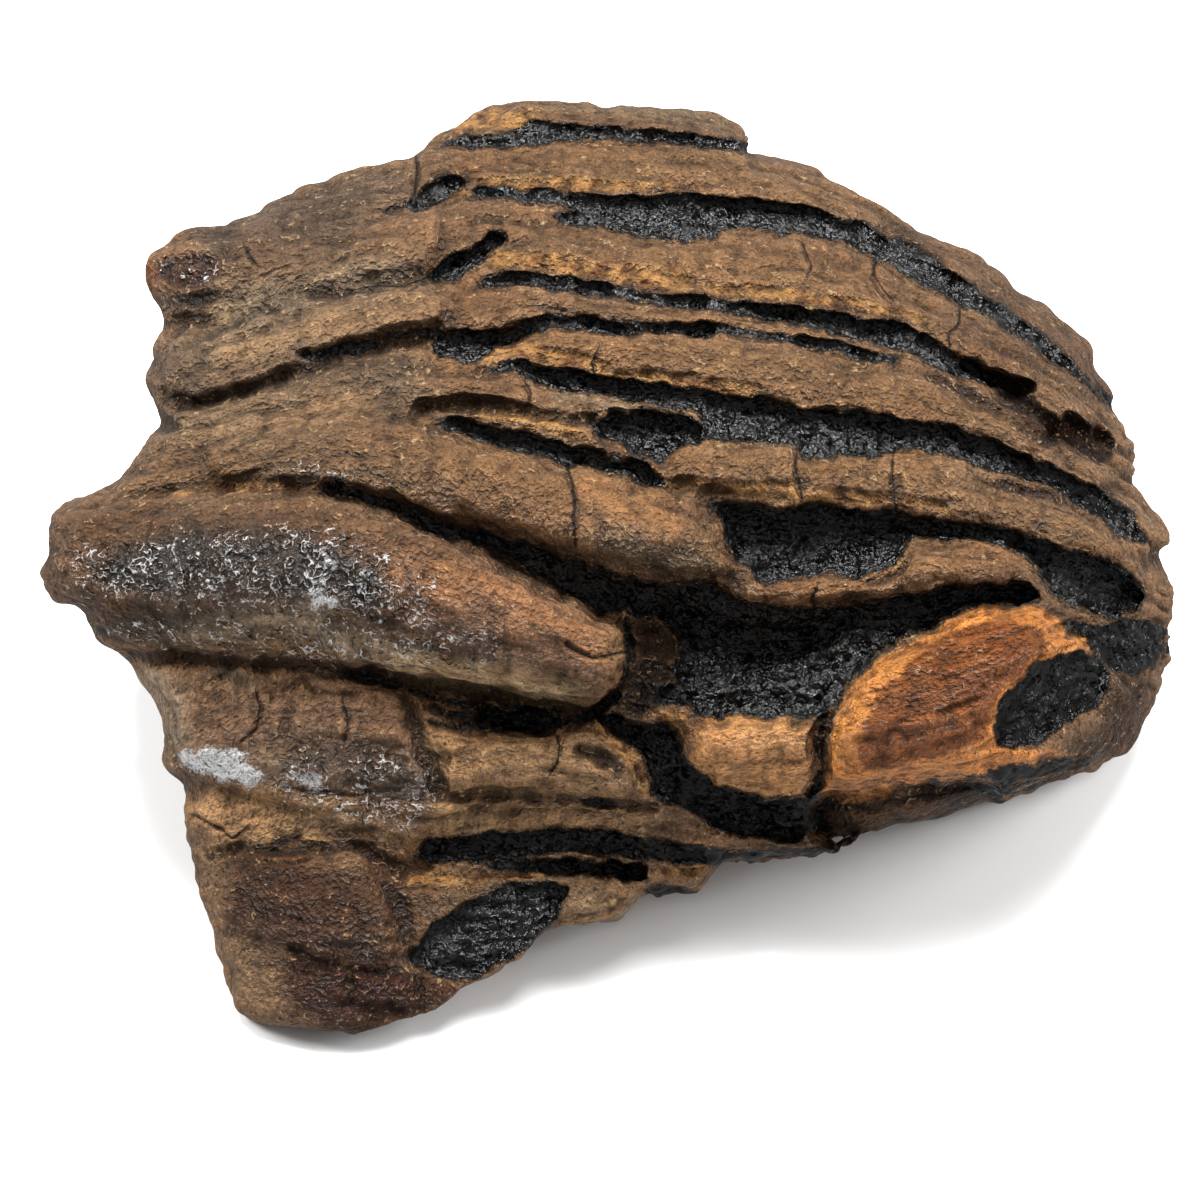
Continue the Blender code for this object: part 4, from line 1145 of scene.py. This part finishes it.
class Form:
    """Depths of the two sides over a spot, with the rim between them."""

    def __init__(self, form):
        self.relief = Relief(form)
        self.near_side = thin_plate(NEAR_SIDE)
        self.far_side = thin_plate(FAR_SIDE)

    def rim(self, px, py):
        angle = np.arctan2(py - HUB[1], px - HUB[0])
        inset = outline_reach(angle) - np.hypot(px - HUB[0], py - HUB[1])
        depth, rounding = around_hub(RIM, angle)
        rounded = [np.sqrt(1.0 - (1.0 - np.clip(inset / r, 0.0, 1.0)) ** 2) for r in (rounding, FAR_ROUNDING)]
        return depth, rounded[0], rounded[1]

    def near(self, px, py, with_relief=True):
        rim, edge, _ = self.rim(px, py)
        relief = self.relief.near(px, py) if with_relief else 0.0
        return rim + (self.near_side(px, py) + relief - rim) * edge, edge

    def far(self, px, py, near):
        rim, _, edge = self.rim(px, py)
        plain = rim + (self.far_side(px, py) - rim) * edge
        lobes = self.relief.far(px, py, near - plain)[1]
        return np.minimum(plain - lobes * edge, near - LEAST_THICKNESS * edge)


def underside(x, y):
    """Lowest height over each point of the table: below it at the contact, and lifted around that."""
    away = np.full(len(x), 1.0)
    close, distance, _ = stroke(CONTACT, x, y, LIFT_REACH)
    away[close] = distance
    lifted = UNDERSIDE_LIFT * smoothstep(0.0, LIFT_REACH, away)
    return lifted - SINK * (1.0 - smoothstep(0.0, SINK_REACH, away))


def get_points(mesh):
    flat = np.empty(len(mesh.vertices) * 3)
    mesh.vertices.foreach_get("co", flat)
    return flat.reshape(-1, 3)


def get_normals(mesh):
    flat = np.empty(len(mesh.vertices) * 3, np.float32)
    mesh.vertices.foreach_get("normal", flat)
    return flat.reshape(-1, 3).astype(float)


def set_points(mesh, points):
    mesh.vertices.foreach_set("co", np.ascontiguousarray(points, np.float32).ravel())
    mesh.update()


def clear_of_table(points, lowest):
    """The points with those under the underside raised to it, and none below the lowest height."""
    ground = np.maximum(underside(points[:, 0], points[:, 1]), lowest)
    return np.column_stack([points[:, :2], np.maximum(points[:, 2], ground)])


def apply_modifier(piece, kind, **settings):
    added = piece.modifiers.new(kind.lower(), kind)
    for name, value in settings.items():
        setattr(added, name, value)
    bpy.context.view_layer.objects.active = piece
    bpy.ops.object.modifier_apply(modifier=added.name)


def pressed_ball(form, view, shape):
    """A ball pressed into the outline and the broad depths of both sides."""
    bpy.ops.object.select_all(action="DESELECT")
    bpy.ops.mesh.primitive_uv_sphere_add(segments=BALL_SEGMENTS, ring_count=BALL_RINGS, radius=1.0)
    piece = bpy.context.object
    piece.name = "mammoth_tooth"
    ball = get_points(piece.data)
    reach = np.hypot(ball[:, 0], ball[:, 1])
    angle = np.arctan2(-ball[:, 1], ball[:, 0])
    edge = outline_reach(angle)
    px = HUB[0] + edge * reach * np.cos(angle)
    py = HUB[1] + edge * reach * np.sin(angle)
    front = ball[:, 2] >= 0.0
    depth = shape.near(px, py, with_relief=False)[0]
    depth[~front] = shape.far(px[~front], py[~front], depth[~front])
    set_points(piece.data, clear_of_table(view.place(px, py, depth), -SINK))
    apply_modifier(piece, "REMESH", mode="VOXEL", voxel_size=form.first_voxel)
    return piece


def carve_relief(view, shape, piece):
    """Plates, pools, grooves and blocks pressed in along the view, and bands behind the rim."""
    points = get_points(piece.data)
    px, py, depth = view.spot(points)
    plain, edge = shape.near(px, py, with_relief=False)
    behind = np.maximum(plain - depth, 0.0)
    reached = 1.0 - smoothstep(*RELIEF_FADE, behind)
    low, _ = shape.relief.far(px, py, behind)
    along = low * (1.0 - reached * edge) * MM
    near = shape.near(px, py)[0] - plain
    points = points + get_normals(piece.data) * along[:, None]
    px, py, depth = view.spot(points)
    set_points(piece.data, clear_of_table(view.place(px, py, depth + near * reached), -SINK))


def behind_near(view, shape, points):
    """Spots and depths of the points, and how far behind the near side they are in mm."""
    px, py, depth = view.spot(points)
    return px, py, depth, np.maximum(shape.near(px, py)[0] - depth, 0.0)


def grain_of(view, lines, px, py, depth):
    """Coordinates along and across the plates and into the tooth, in mm."""
    step = view.step / MM
    return np.stack([px * step, lines(px, py) * STEPS_BETWEEN_PLATES * step, depth], axis=1)


def cementum_away(px, py, behind):
    """How far each spot is outside the cementum, in steps."""
    away = np.full(len(px), FAR_OFF)
    rx, ry = ragged(px, py, EDGE_BREAK, EDGE_BREAK_SIZE)
    hide = FAR_OFF * smoothstep(*FILLING_FADE, behind)
    for outline, _, _ in POOLS.values():
        closer(away, *area(outline, rx, ry, FAR_OFF), hide)
    for path, _, _ in (*DEEPS.values(), *THREADS.values()):
        closer(away, *stroke(path, rx, ry, FAR_OFF)[:2], hide)
    shift = FAR_SHIFT * smoothstep(0.0, FAR_BLEND, behind)
    rx, ry = ragged(px, py - shift, EDGE_BREAK, EDGE_BREAK_SIZE)
    for paths, start in ((BANDS, BAND_START), (FAR_BANDS, FAR_BAND_START)):
        hide = FAR_OFF * (1.0 - smoothstep(*start, behind))
        for path in paths:
            closer(away, *stroke(path, rx, ry, FAR_OFF)[:2], hide)
    return away


def strokes_away(paths, px, py, behind, amount):
    """How far each spot of the near side is outside the nearest stroke, in steps."""
    rx, ry = ragged(px, py, amount, EDGE_BREAK_SIZE)
    away = np.full(len(px), FAR_OFF)
    hide = FAR_OFF * smoothstep(*STROKE_FADE, behind)
    for path in paths:
        closer(away, *stroke(path, rx, ry, FAR_OFF)[:2], hide)
    return away


def cracks_away(px, py):
    """Distance to the nearest crack, less than nothing on its left, and the crack's half width there."""
    rx, ry = ragged(px, py, CRACK_BREAK, CRACK_BREAK_SIZE)
    away = np.full(len(px), CRACK_REACH)
    width = np.ones(len(px))
    for half, path in CRACKS:
        close, distance, sign = crack_line(path, rx, ry, CRACK_REACH)
        nearer = distance < np.abs(away[close])
        away[close] = np.where(nearer, distance * sign, away[close])
        width[close] = np.where(nearer, half, width[close])
    return away, width


def fine_relief(form, view, shape, piece, lines):
    """Lumps and creases along the plates, rough cementum, crumbled edges and cracks."""
    mesh = piece.data
    points = get_points(mesh)
    px, py, depth, behind = behind_near(view, shape, points)
    grain = grain_of(view, lines, px, py, depth)
    in_mm = points / MM
    filled = 1.0 - smoothstep(*FILLED_EDGE, cementum_away(px, py, behind))
    worn = 1.0 - smoothstep(*WORN_EDGE, strokes_away(WORN, px, py, behind, EDGE_BREAK))
    root = smoothstep(ROOT_START, ROOT_WHOLE, px)
    along = layered_noise(grain / LUMP_SIZE, 3, 2, creased) - 0.5
    ripples = layered_noise(grain / RIPPLE_SIZE, 5, 2) - 0.5
    crags = layered_noise(in_mm / CRAG_SIZE, 7, 2, creased) - 0.5
    streaky = layered_noise(grain / STREAK_SIZE, 13, 2, creased) - 0.5
    crumbs = layered_noise(in_mm / CRUMB_SIZE, 17, 2) - 0.5
    plate = LUMP_HEIGHT * along * (1.0 - ROOT_SMOOTHING * root) + RIPPLE_HEIGHT * ripples
    plate += PLATE_CRAG_HEIGHT * crags
    moved = plate * (1.0 - filled) + (STREAK_HEIGHT * streaky + CEMENTUM_CRAG_HEIGHT * crags) * filled
    moved += (CRUMB_HEIGHT * crumbs - CRUMB_DEPTH) * worn * (1.0 - filled)
    away, width = cracks_away(px, py)
    cut = 1.0 - smoothstep(*CRACK_EDGE, np.abs(away) / (width + CRACK_WIDENING))
    moved -= form.crack_depth / MM * cut * (1.0 - smoothstep(*CRACK_FADE, behind))
    set_points(mesh, clear_of_table(points + get_normals(mesh) * (moved * MM)[:, None], 0.0))


def thin_out(piece, aim):
    """Fewer triangles on the far side. The near side keeps all of its own, so more are left than the aim."""
    near = get_normals(piece.data) @ NEARER
    group = piece.vertex_groups.new(name="far")
    share = 1.0 - smoothstep(*THIN_TURN, near)
    for level in range(1, THIN_LEVELS + 1):
        chosen = np.flatnonzero((share * THIN_LEVELS).round() == level)
        group.add(chosen.tolist(), level / THIN_LEVELS, "REPLACE")
    ratio = aim / (2 * len(piece.data.polygons))
    apply_modifier(piece, "DECIMATE", ratio=ratio, vertex_group="far", vertex_group_factor=THIN_FACTOR)
    piece.vertex_groups.clear()
    set_points(piece.data, clear_of_table(get_points(piece.data), 0.0))


def hollowness(mesh, rounds):
    """How far each point lies below the mean of its surroundings, in mm."""
    ends = np.empty(len(mesh.edges) * 2, np.int32)
    mesh.edges.foreach_get("vertices", ends)
    left, right = ends.reshape(-1, 2).T
    points = get_points(mesh)
    count = len(points)
    share = np.bincount(ends, minlength=count).astype(float)[:, None]
    mean = points.copy()
    for _ in range(rounds):
        sums = [
            np.bincount(left, row[right], count) + np.bincount(right, row[left], count) for row in mean.T
        ]
        mean = np.stack(sums, axis=1) / share
    return ((mean - points) * get_normals(mesh)).sum(axis=1) / MM


def write_value(mesh, name, kind, values):
    """Stores a number, vector or colour at each point."""
    attribute = mesh.attributes.new(name, kind, "POINT")
    field = {"FLOAT": "value", "FLOAT_VECTOR": "vector", "FLOAT_COLOR": "color"}[kind]
    attribute.data.foreach_set(field, np.ascontiguousarray(values, np.float32).ravel())


def stained(finish, px, py, behind, grain, in_mm):
    """Colour of the bare dentine and enamel at each point, with painted shade in hollows, undercuts and on
    sides turned away from the light, and painted shadow around the root stubs.
    """
    facing = 1.0 - smoothstep(*STAIN_FADE, behind)
    tint = np.tile(np.array(finish.plate), (len(px), 1))
    tint += (np.array(finish.root) - tint) * (smoothstep(520.0, 400.0, px) * (1.0 - facing))[:, None]
    sx, sy = ragged(px, py, STAIN_BREAK, STAIN_BREAK_SIZE)
    for name, soft, strength, path in STAINS:
        close, distance, _ = stroke(path, sx, sy, soft)
        amount = strength * (1.0 - smoothstep(-soft, soft, distance)) * facing[close]
        tint[close] += (np.array(getattr(finish, name)) - tint[close]) * amount[:, None]
    sx, sy = ragged(px, py, EDGE_BREAK, EDGE_BREAK_SIZE)
    for name, strength, outline in PATCHES:
        close, distance = area(outline, sx, sy, 3.0)
        amount = strength * (1.0 - smoothstep(*PATCH_EDGE, distance)) * facing[close]
        tint[close] += (np.array(getattr(finish, name)) - tint[close]) * amount[:, None]
    cloud = layered_noise(in_mm / CLOUD_SIZE, 31, 3) - 0.5
    band = layered_noise(grain / BAND_SIZE, 37, 3) - 0.5
    warmth = layered_noise(in_mm / WARMTH_SIZE, 41, 2) - 0.5
    uneven = np.clip(1.0 + CLOUD_STRENGTH * cloud + BAND_STRENGTH * band, 0.0, 2.0)
    return np.clip(tint * SHADE * uneven[:, None] * (1.0 + warmth[:, None] * WARMTH), 0.0, 1.0)


def paint(view, shape, piece, lines, finish):
    """Writes what the material reads: tint, grain, hollows, and distances to cementum and other marks."""
    mesh = piece.data
    points = get_points(mesh)
    px, py, depth, behind = behind_near(view, shape, points)
    grain = grain_of(view, lines, px, py, depth)
    tint = stained(finish, px, py, behind, grain, points / MM)
    write_value(mesh, "tint", "FLOAT_COLOR", np.column_stack([tint, np.ones(len(px))]))
    write_value(mesh, "grain", "FLOAT_VECTOR", grain * GRAIN_STRETCH)
    write_value(mesh, "cementum", "FLOAT", cementum_away(px, py, behind))
    write_value(mesh, "worn", "FLOAT", strokes_away(WORN, px, py, behind, EDGE_BREAK))
    away, width = cracks_away(px, py)
    write_value(mesh, "crack", "FLOAT", away / width)
    nearby = 1.0 - smoothstep(CRACK_NEAR, CRACK_REACH, np.abs(away))
    nearby *= 1.0 - smoothstep(*STAIN_FADE, behind)
    write_value(mesh, "crack_near", "FLOAT", nearby)
    hollow = hollowness(mesh, FEW_ROUNDS) + MANY_SHARE * hollowness(mesh, MANY_ROUNDS)
    write_value(mesh, "hollow", "FLOAT", hollow)
    write_value(mesh, "gloss", "FLOAT", strokes_away(GLOSS, px, py, behind, GLOSS_BREAK))
    write_value(mesh, "chalk", "FLOAT", strokes_away(PAINTED_GLINTS, px, py, behind, PAINTED_GLINT_BREAK))


class FOSSIL_OT_model_tooth(Operator):
    """Sculpt the tooth from a ball: outline, plates, cementum, roots and fine relief"""

    bl_idname = "fossil.model_tooth"
    bl_label = "Model the tooth"

    def execute(self, context):
        form, finish = context.scene.tooth_form, context.scene.tooth_finish
        view, shape = View(form), Form(form)
        lines = thin_plate([(x, y, value) for value, spots in PLATE_LINES.items() for x, y in spots])
        piece = pressed_ball(form, view, shape)
        carve_relief(view, shape, piece)
        apply_modifier(piece, "REMESH", mode="VOXEL", voxel_size=form.last_voxel)
        apply_modifier(piece, "SMOOTH", factor=0.5, iterations=1)
        fine_relief(form, view, shape, piece, lines)
        thin_out(piece, form.aimed_triangles)
        piece.data.shade_smooth()
        paint(view, shape, piece, lines, finish)
        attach(piece, "root")
        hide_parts("tooth")
        return {"FINISHED"}


def add_node(tree, name, kind, settings, inputs):
    """Adds a node with its settings. An input is a value, or an earlier node's name and output number."""
    made = tree.nodes.new(kind)
    made.name = made.label = name
    for key, value in settings.items():
        setattr(made, key, value)
    for key, value in inputs.items():
        if isinstance(value, str):
            source, _, output = value.partition(".")
            tree.links.new(tree.nodes[source].outputs[int(output or 0)], made.inputs[key])
        else:
            made.inputs[key].default_value = value
    return made


ATTRIBUTE, NOISE, RANGE = "ShaderNodeAttribute", "ShaderNodeTexNoise", "ShaderNodeMapRange"
MATHS, VECTOR, MIX = "ShaderNodeMath", "ShaderNodeVectorMath", "ShaderNodeMix"
SMOOTH = {"interpolation_type": "SMOOTHSTEP"}
RGBA = {"data_type": "RGBA"}
MULTIPLY, MULTIPLY_ADD, SUBTRACT, ABSOLUTE = (
    {"operation": operation} for operation in ("MULTIPLY", "MULTIPLY_ADD", "SUBTRACT", "ABSOLUTE")
)
MARKS = ("grain", "tint", "cementum", "worn", "crack", "crack_near", "hollow", "gloss", "chalk")
FAC, VEC = ".2", ".1"


def tooth_nodes(finish):
    """The tooth's nodes in order. Grain coordinates are in mm, and object coordinates in metres."""
    # Greys are darkened evenly, so that they stay grey.
    greys = ("cementum", "cementum_grey", "dirt", "chalk")
    paint_of = {
        name: (*np.multiply(getattr(finish, name), SHADE[0] if name in greys else SHADE), 1.0)
        for name in ("raw", "raw_dark", "cream_glint", *greys)
    }
    return (
        ("place", "ShaderNodeTexCoord", {}, {}),
        *((name, ATTRIBUTE, {"attribute_name": name}, {}) for name in MARKS),
        # Growth streaks about 0.8 mm wide and 1.1 mm long.
        ("streaks", NOISE, {}, {"Vector": "grain" + VEC, "Scale": 1.25, "Detail": 3.0, "Roughness": 0.62}),
        # Grit and pits 0.6 mm apart, which is coarser than the real 0.2 mm so that it shows.
        ("grit", NOISE, {}, {"Vector": "place.3", "Scale": 1600.0, "Detail": 2.0, "Roughness": 0.7}),
        # Curled lines 1.6 mm apart: creases in the bump, and painted glint flecks along them.
        ("curls", NOISE, {}, {"Vector": "place.3", "Scale": 640.0, "Detail": 1.0, "Roughness": 0.5}),
        # Patches where the painted glint flecks gather and the plates crumble, 4 mm apart.
        ("patches", NOISE, {}, {"Vector": "place.3", "Scale": 250.0, "Detail": 1.0, "Roughness": 0.6}),
        # Flat chips of broken cementum and plate, 1.1 mm across.
        ("chips", "ShaderNodeTexVoronoi", {}, {"Vector": "place.3", "Scale": 900.0}),
        ("jitter", MATHS, SUBTRACT, {0: "grit", 1: 0.5}),
        ("cementum_edge", MATHS, MULTIPLY_ADD, {0: "jitter", 1: 9.0, 2: "cementum" + FAC}),
        ("in_cementum", RANGE, SMOOTH, {0: "cementum_edge", 1: -0.6, 2: 0.6, 3: 1.0, 4: 0.0}),
        ("worn_edge", MATHS, MULTIPLY_ADD, {0: "jitter", 1: 13.0, 2: "worn" + FAC}),
        ("in_worn", RANGE, SMOOTH, {0: "worn_edge", 1: -3.0, 2: 1.5, 3: 0.85, 4: 0.0}),
        ("gloss_edge", MATHS, MULTIPLY_ADD, {0: "jitter", 1: 30.0, 2: "gloss" + FAC}),
        ("in_gloss", RANGE, SMOOTH, {0: "gloss_edge", 1: -10.0, 2: 10.0, 3: 1.0, 4: 0.0}),
        ("chalk_edge", MATHS, MULTIPLY_ADD, {0: "jitter", 1: 24.0, 2: "chalk" + FAC}),
        ("in_chalk", RANGE, SMOOTH, {0: "chalk_edge", 1: -3.0, 2: 3.0, 3: 1.0, 4: 0.0}),
        ("crack_edge", MATHS, MULTIPLY_ADD, {0: "jitter", 1: 2.0, 2: "crack" + FAC}),
        ("crack_side", MATHS, ABSOLUTE, {0: "crack_edge"}),
        ("crack_line", RANGE, SMOOTH, {0: "crack_side", 1: 0.4, 2: 1.0, 3: 0.85, 4: 0.0}),
        ("in_crack", MATHS, MULTIPLY, {0: "crack_line", 1: "crack_near" + FAC}),
        ("curl_side", MATHS, SUBTRACT, {0: "curls", 1: 0.5}),
        ("curl_away", MATHS, ABSOLUTE, {0: "curl_side"}),
        ("curl_line", RANGE, SMOOTH, {0: "curl_away", 1: 0.015, 2: 0.045, 3: 1.0, 4: 0.0}),
        # Painted glints: short pale flecks along the curled lines, where patches and streaks are high and
        # over the glossy stains.
        ("glint_field", MATHS, MULTIPLY_ADD, {0: "patches", 1: 0.5, 2: "streaks"}),
        ("glint_near", MATHS, MULTIPLY_ADD, {0: "in_gloss", 1: 0.06, 2: "glint_field"}),
        ("glint_part", RANGE, SMOOTH, {0: "glint_near", 1: 0.82, 2: 0.88, 3: 0.0, 4: 1.0}),
        ("glint_flecks", MATHS, MULTIPLY, {0: "curl_line", 1: "glint_part"}),
        ("streak_shade", RANGE, SMOOTH, {0: "streaks", 1: 0.30, 2: 0.70, 3: 0.82, 4: 1.18}),
        ("grit_shade", RANGE, SMOOTH, {0: "grit", 1: 0.30, 2: 0.70, 3: 0.84, 4: 1.16}),
        ("hollow_shade", RANGE, SMOOTH, {0: "hollow" + FAC, 1: -0.24, 2: 0.26, 3: 1.30, 4: 0.40}),
        ("fine_shade", MATHS, MULTIPLY, {0: "streak_shade", 1: "grit_shade"}),
        ("rough_shade", MATHS, MULTIPLY, {0: "fine_shade", 1: "hollow_shade"}),
        # A dark line where the plates meet the cementum.
        ("edge_shade", RANGE, SMOOTH, {0: "cementum_edge", 1: 0.5, 2: 3.5, 3: 0.4, 4: 1.0}),
        ("shade", MATHS, MULTIPLY, {0: "rough_shade", 1: "edge_shade"}),
        ("raw_part", RANGE, SMOOTH, {0: "patches", 1: 0.32, 2: 0.52, 3: 0.0, 4: 1.0}),
        ("raw_tint", MIX, RGBA, {0: "raw_part", 6: paint_of["raw_dark"], 7: paint_of["raw"]}),
        ("bare_tint", MIX, RGBA, {0: "in_worn", 6: "tint", 7: "raw_tint.2"}),
        ("shaded", VECTOR, {"operation": "SCALE"}, {0: "bare_tint.2", 3: "shade"}),
        ("pits", RANGE, SMOOTH, {0: "grit", 1: 0.36, 2: 0.31, 3: 0.0, 4: 0.9}),
        ("bare", MIX, RGBA, {0: "pits", 6: "shaded", 7: paint_of["dirt"]}),
        # Painted glint flecks are white over the glossy stains and cream on the plates.
        ("film_tint", MIX, RGBA, {0: "in_gloss", 6: paint_of["cream_glint"], 7: paint_of["chalk"]}),
        ("glint_strength", MATHS, MULTIPLY_ADD, {0: "in_gloss", 1: 0.30, 2: 0.60}),
        ("film", MATHS, MULTIPLY, {0: "glint_flecks", 1: "glint_strength"}),
        # Painted white glint spots where their strokes lie.
        ("white_glint_part", RANGE, SMOOTH, {0: "grit", 1: 0.34, 2: 0.46, 3: 0.3, 4: 1.0}),
        ("crust", MATHS, MULTIPLY, {0: "in_chalk", 1: "white_glint_part"}),
        ("filmed", MIX, RGBA, {0: "film", 6: "bare.2", 7: "film_tint.2"}),
        ("crusted", MIX, RGBA, {0: "crust", 6: "filmed.2", 7: paint_of["chalk"]}),
        ("cracked", MIX, RGBA, {0: "in_crack", 6: "crusted.2", 7: paint_of["dirt"]}),
        # Painted sheen, partly wear: the raised spots of the cementum turn grey.
        ("wear_and_sheen", RANGE, SMOOTH, {0: "hollow" + FAC, 1: 0.0, 2: -0.20, 3: 0.0, 4: 0.4}),
        ("filling", MIX, RGBA, {0: "wear_and_sheen", 6: paint_of["cementum"], 7: paint_of["cementum_grey"]}),
        ("surface", MIX, RGBA, {0: "in_cementum", 6: "cracked.2", 7: "filling.2"}),
        ("dull", RANGE, SMOOTH, {0: "grit", 1: 0.3, 2: 0.7, 3: 0.50, 4: 0.30}),
        ("glassy", RANGE, SMOOTH, {0: "patches", 1: 0.35, 2: 0.65, 3: 0.36, 4: 0.09}),
        ("wet", MATHS, {"operation": "MAXIMUM"}, {0: "in_cementum", 1: "in_gloss"}),
        ("roughness", MIX, {}, {0: "wet", 2: "dull", 3: "glassy"}),
        ("shine", MIX, {}, {0: "wet", 2: 0.40, 3: 0.70}),
        ("chip_side", VECTOR, SUBTRACT, {0: "chips.1", 1: (0.5, 0.5, 0.5)}),
        ("chip_lean", MATHS, MULTIPLY_ADD, {0: "wet", 1: 0.95, 2: 0.20}),
        ("chipped", VECTOR, MULTIPLY_ADD, {0: "chip_side", 1: "chip_lean", 2: "place.1"}),
        ("chip_normal", VECTOR, {"operation": "NORMALIZE"}, {0: "chipped"}),
        # The cementum has no streaks and flatter ripples, so that its chips stay clear.
        ("ripple", MATHS, MULTIPLY_ADD, {0: "in_cementum", 1: -0.5, 2: 1.0}),
        ("streak_part", MATHS, MULTIPLY_ADD, {0: "in_cementum", 1: -1.0, 2: 1.0}),
        ("grit_height", MATHS, MULTIPLY, {0: "grit", 1: 0.9}),
        ("streak_height", MATHS, MULTIPLY_ADD, {0: "streaks", 1: "streak_part", 2: "grit_height"}),
        ("curl_height", MATHS, MULTIPLY_ADD, {0: "curl_away", 1: -2.6, 2: "streak_height"}),
        ("ripple_height", MATHS, MULTIPLY, {0: "curl_height", 1: "ripple"}),
        ("height", MATHS, MULTIPLY_ADD, {0: "in_crack", 1: -0.5, 2: "ripple_height"}),
        ("bump", "ShaderNodeBump", {}, {"Distance": 0.0012, "Height": "height", "Normal": "chip_normal"}),
    )


def fossil_material(finish):
    """Mineralised tooth: dull pitted plates with a waxy sheen and painted glint flecks, and glassy black
    cementum that glints, its raised spots grey from wear and a painted sheen.
    """
    made = bpy.data.materials.new("mineralised_tooth")
    made.use_nodes = True
    tree = made.node_tree
    for row in tooth_nodes(finish):
        add_node(tree, *row)
    shader = tree.nodes["Principled BSDF"]
    for source, output, target in (
        ("surface", 2, "Base Color"), ("roughness", 0, "Roughness"), ("shine", 0, "Specular IOR Level"),
        ("bump", 0, "Normal"),
    ):
        tree.links.new(tree.nodes[source].outputs[output], shader.inputs[target])
    return made


class FOSSIL_OT_finish_tooth(Operator):
    """Give the tooth its mineral surface"""

    bl_idname = "fossil.finish_tooth"
    bl_label = "Finish the tooth"

    def execute(self, context):
        piece = bpy.data.objects["mammoth_tooth"]
        piece.data.materials.clear()
        piece.data.materials.append(fossil_material(context.scene.tooth_finish))
        return {"FINISHED"}


def card_material(shade):
    """Matt white card: an even pale ground that only takes shadows."""
    made = bpy.data.materials.new("white_card")
    made.use_nodes = True
    shader = made.node_tree.nodes["Principled BSDF"]
    shader.inputs["Base Color"].default_value = (*shade, 1.0)
    shader.inputs["Roughness"].default_value = CARD_ROUGHNESS
    return made


class FOSSIL_OT_set_studio(Operator):
    """Lay a white card, set a soft light and the camera"""

    bl_idname = "fossil.set_studio"
    bl_label = "Set the studio"

    def execute(self, context):
        look = context.scene.tooth_studio
        bpy.ops.object.select_all(action="DESELECT")
        bpy.ops.mesh.primitive_plane_add(size=CARD_SIZE)
        card = bpy.context.object
        card.name = "white_card"
        card.data.materials.append(card_material(look.card))
        # The black cementum would mirror the card and look grey.
        card.visible_glossy = False

        for name, place, size, watts, glints in (
            ("softbox", SOFTBOX_PLACE, SOFTBOX_SIZE, look.softbox_power, True),
            ("small_light", SPARK_PLACE, SPARK_SIZE, look.spark_power, True),
            # The side lights only lift the shadows, so they make no glints.
            ("left_light", LEFT_PLACE, SIDE_SIZE, look.side_power, False),
            ("right_light", RIGHT_PLACE, SIDE_SIZE, look.side_power * RIGHT_SHARE, False),
        ):
            x, y, z = np.array(LIGHT_TARGET) - np.array(place)
            turn = (math.atan2(math.hypot(x, y), -z), 0.0, math.atan2(y, x) - math.pi / 2)
            bpy.ops.object.light_add(type="AREA", location=place, rotation=turn)
            light = bpy.context.object
            light.name = name
            light.data.size = size
            light.data.energy = watts
            light.visible_glossy = glints

        world = bpy.data.worlds.new("white_room")
        world.use_nodes = True
        background = world.node_tree.nodes["Background"]
        background.inputs["Color"].default_value = (1.0, 1.0, 1.0, 1.0)
        background.inputs["Strength"].default_value = look.sky
        context.scene.world = world
        context.scene.view_settings.view_transform = "Standard"

        place = CENTRE_PLACE + NEARER * VIEW_DISTANCE
        bpy.ops.object.camera_add(location=place, rotation=(math.pi / 2 - VIEW_TILT, 0.0, 0.0))
        camera = bpy.context.object
        camera.name = "photo_camera"
        camera.data.lens = look.lens
        camera.data.sensor_width = SENSOR_WIDTH
        camera.data.clip_start = CLIP_START
        context.scene.camera = camera
        return {"FINISHED"}


class FOSSIL_PT_tooth(Panel):
    """Sizes and colours of the tooth, and the steps that make it"""

    bl_label = "Fossil Tooth"
    bl_idname = "FOSSIL_PT_tooth"
    bl_space_type = "VIEW_3D"
    bl_region_type = "UI"
    bl_category = "Fossil"

    def draw(self, context):
        for operator, group in STEPS:
            self.layout.operator(operator.bl_idname)
            settings = getattr(context.scene, group)
            for name in settings.bl_rna.properties.keys():
                if name not in ("rna_type", "name"):
                    self.layout.prop(settings, name)


STEPS = (
    (FOSSIL_OT_model_tooth, "tooth_form"),
    (FOSSIL_OT_finish_tooth, "tooth_finish"),
    (FOSSIL_OT_set_studio, "tooth_studio"),
)
GROUPS = {"tooth_form": ToothForm, "tooth_finish": ToothFinish, "tooth_studio": ToothStudio}
CLASSES = (*GROUPS.values(), *(operator for operator, _ in STEPS), FOSSIL_PT_tooth)


def register():
    for item in CLASSES:
        bpy.utils.register_class(item)
    for name, group in GROUPS.items():
        setattr(bpy.types.Scene, name, PointerProperty(type=group))


def unregister():
    for name in GROUPS:
        delattr(bpy.types.Scene, name)
    for item in reversed(CLASSES):
        bpy.utils.unregister_class(item)


def main():
    register()
    bpy.ops.fossil.model_tooth()
    bpy.ops.fossil.finish_tooth()
    bpy.ops.fossil.set_studio()


if __name__ == "__main__":
    main()
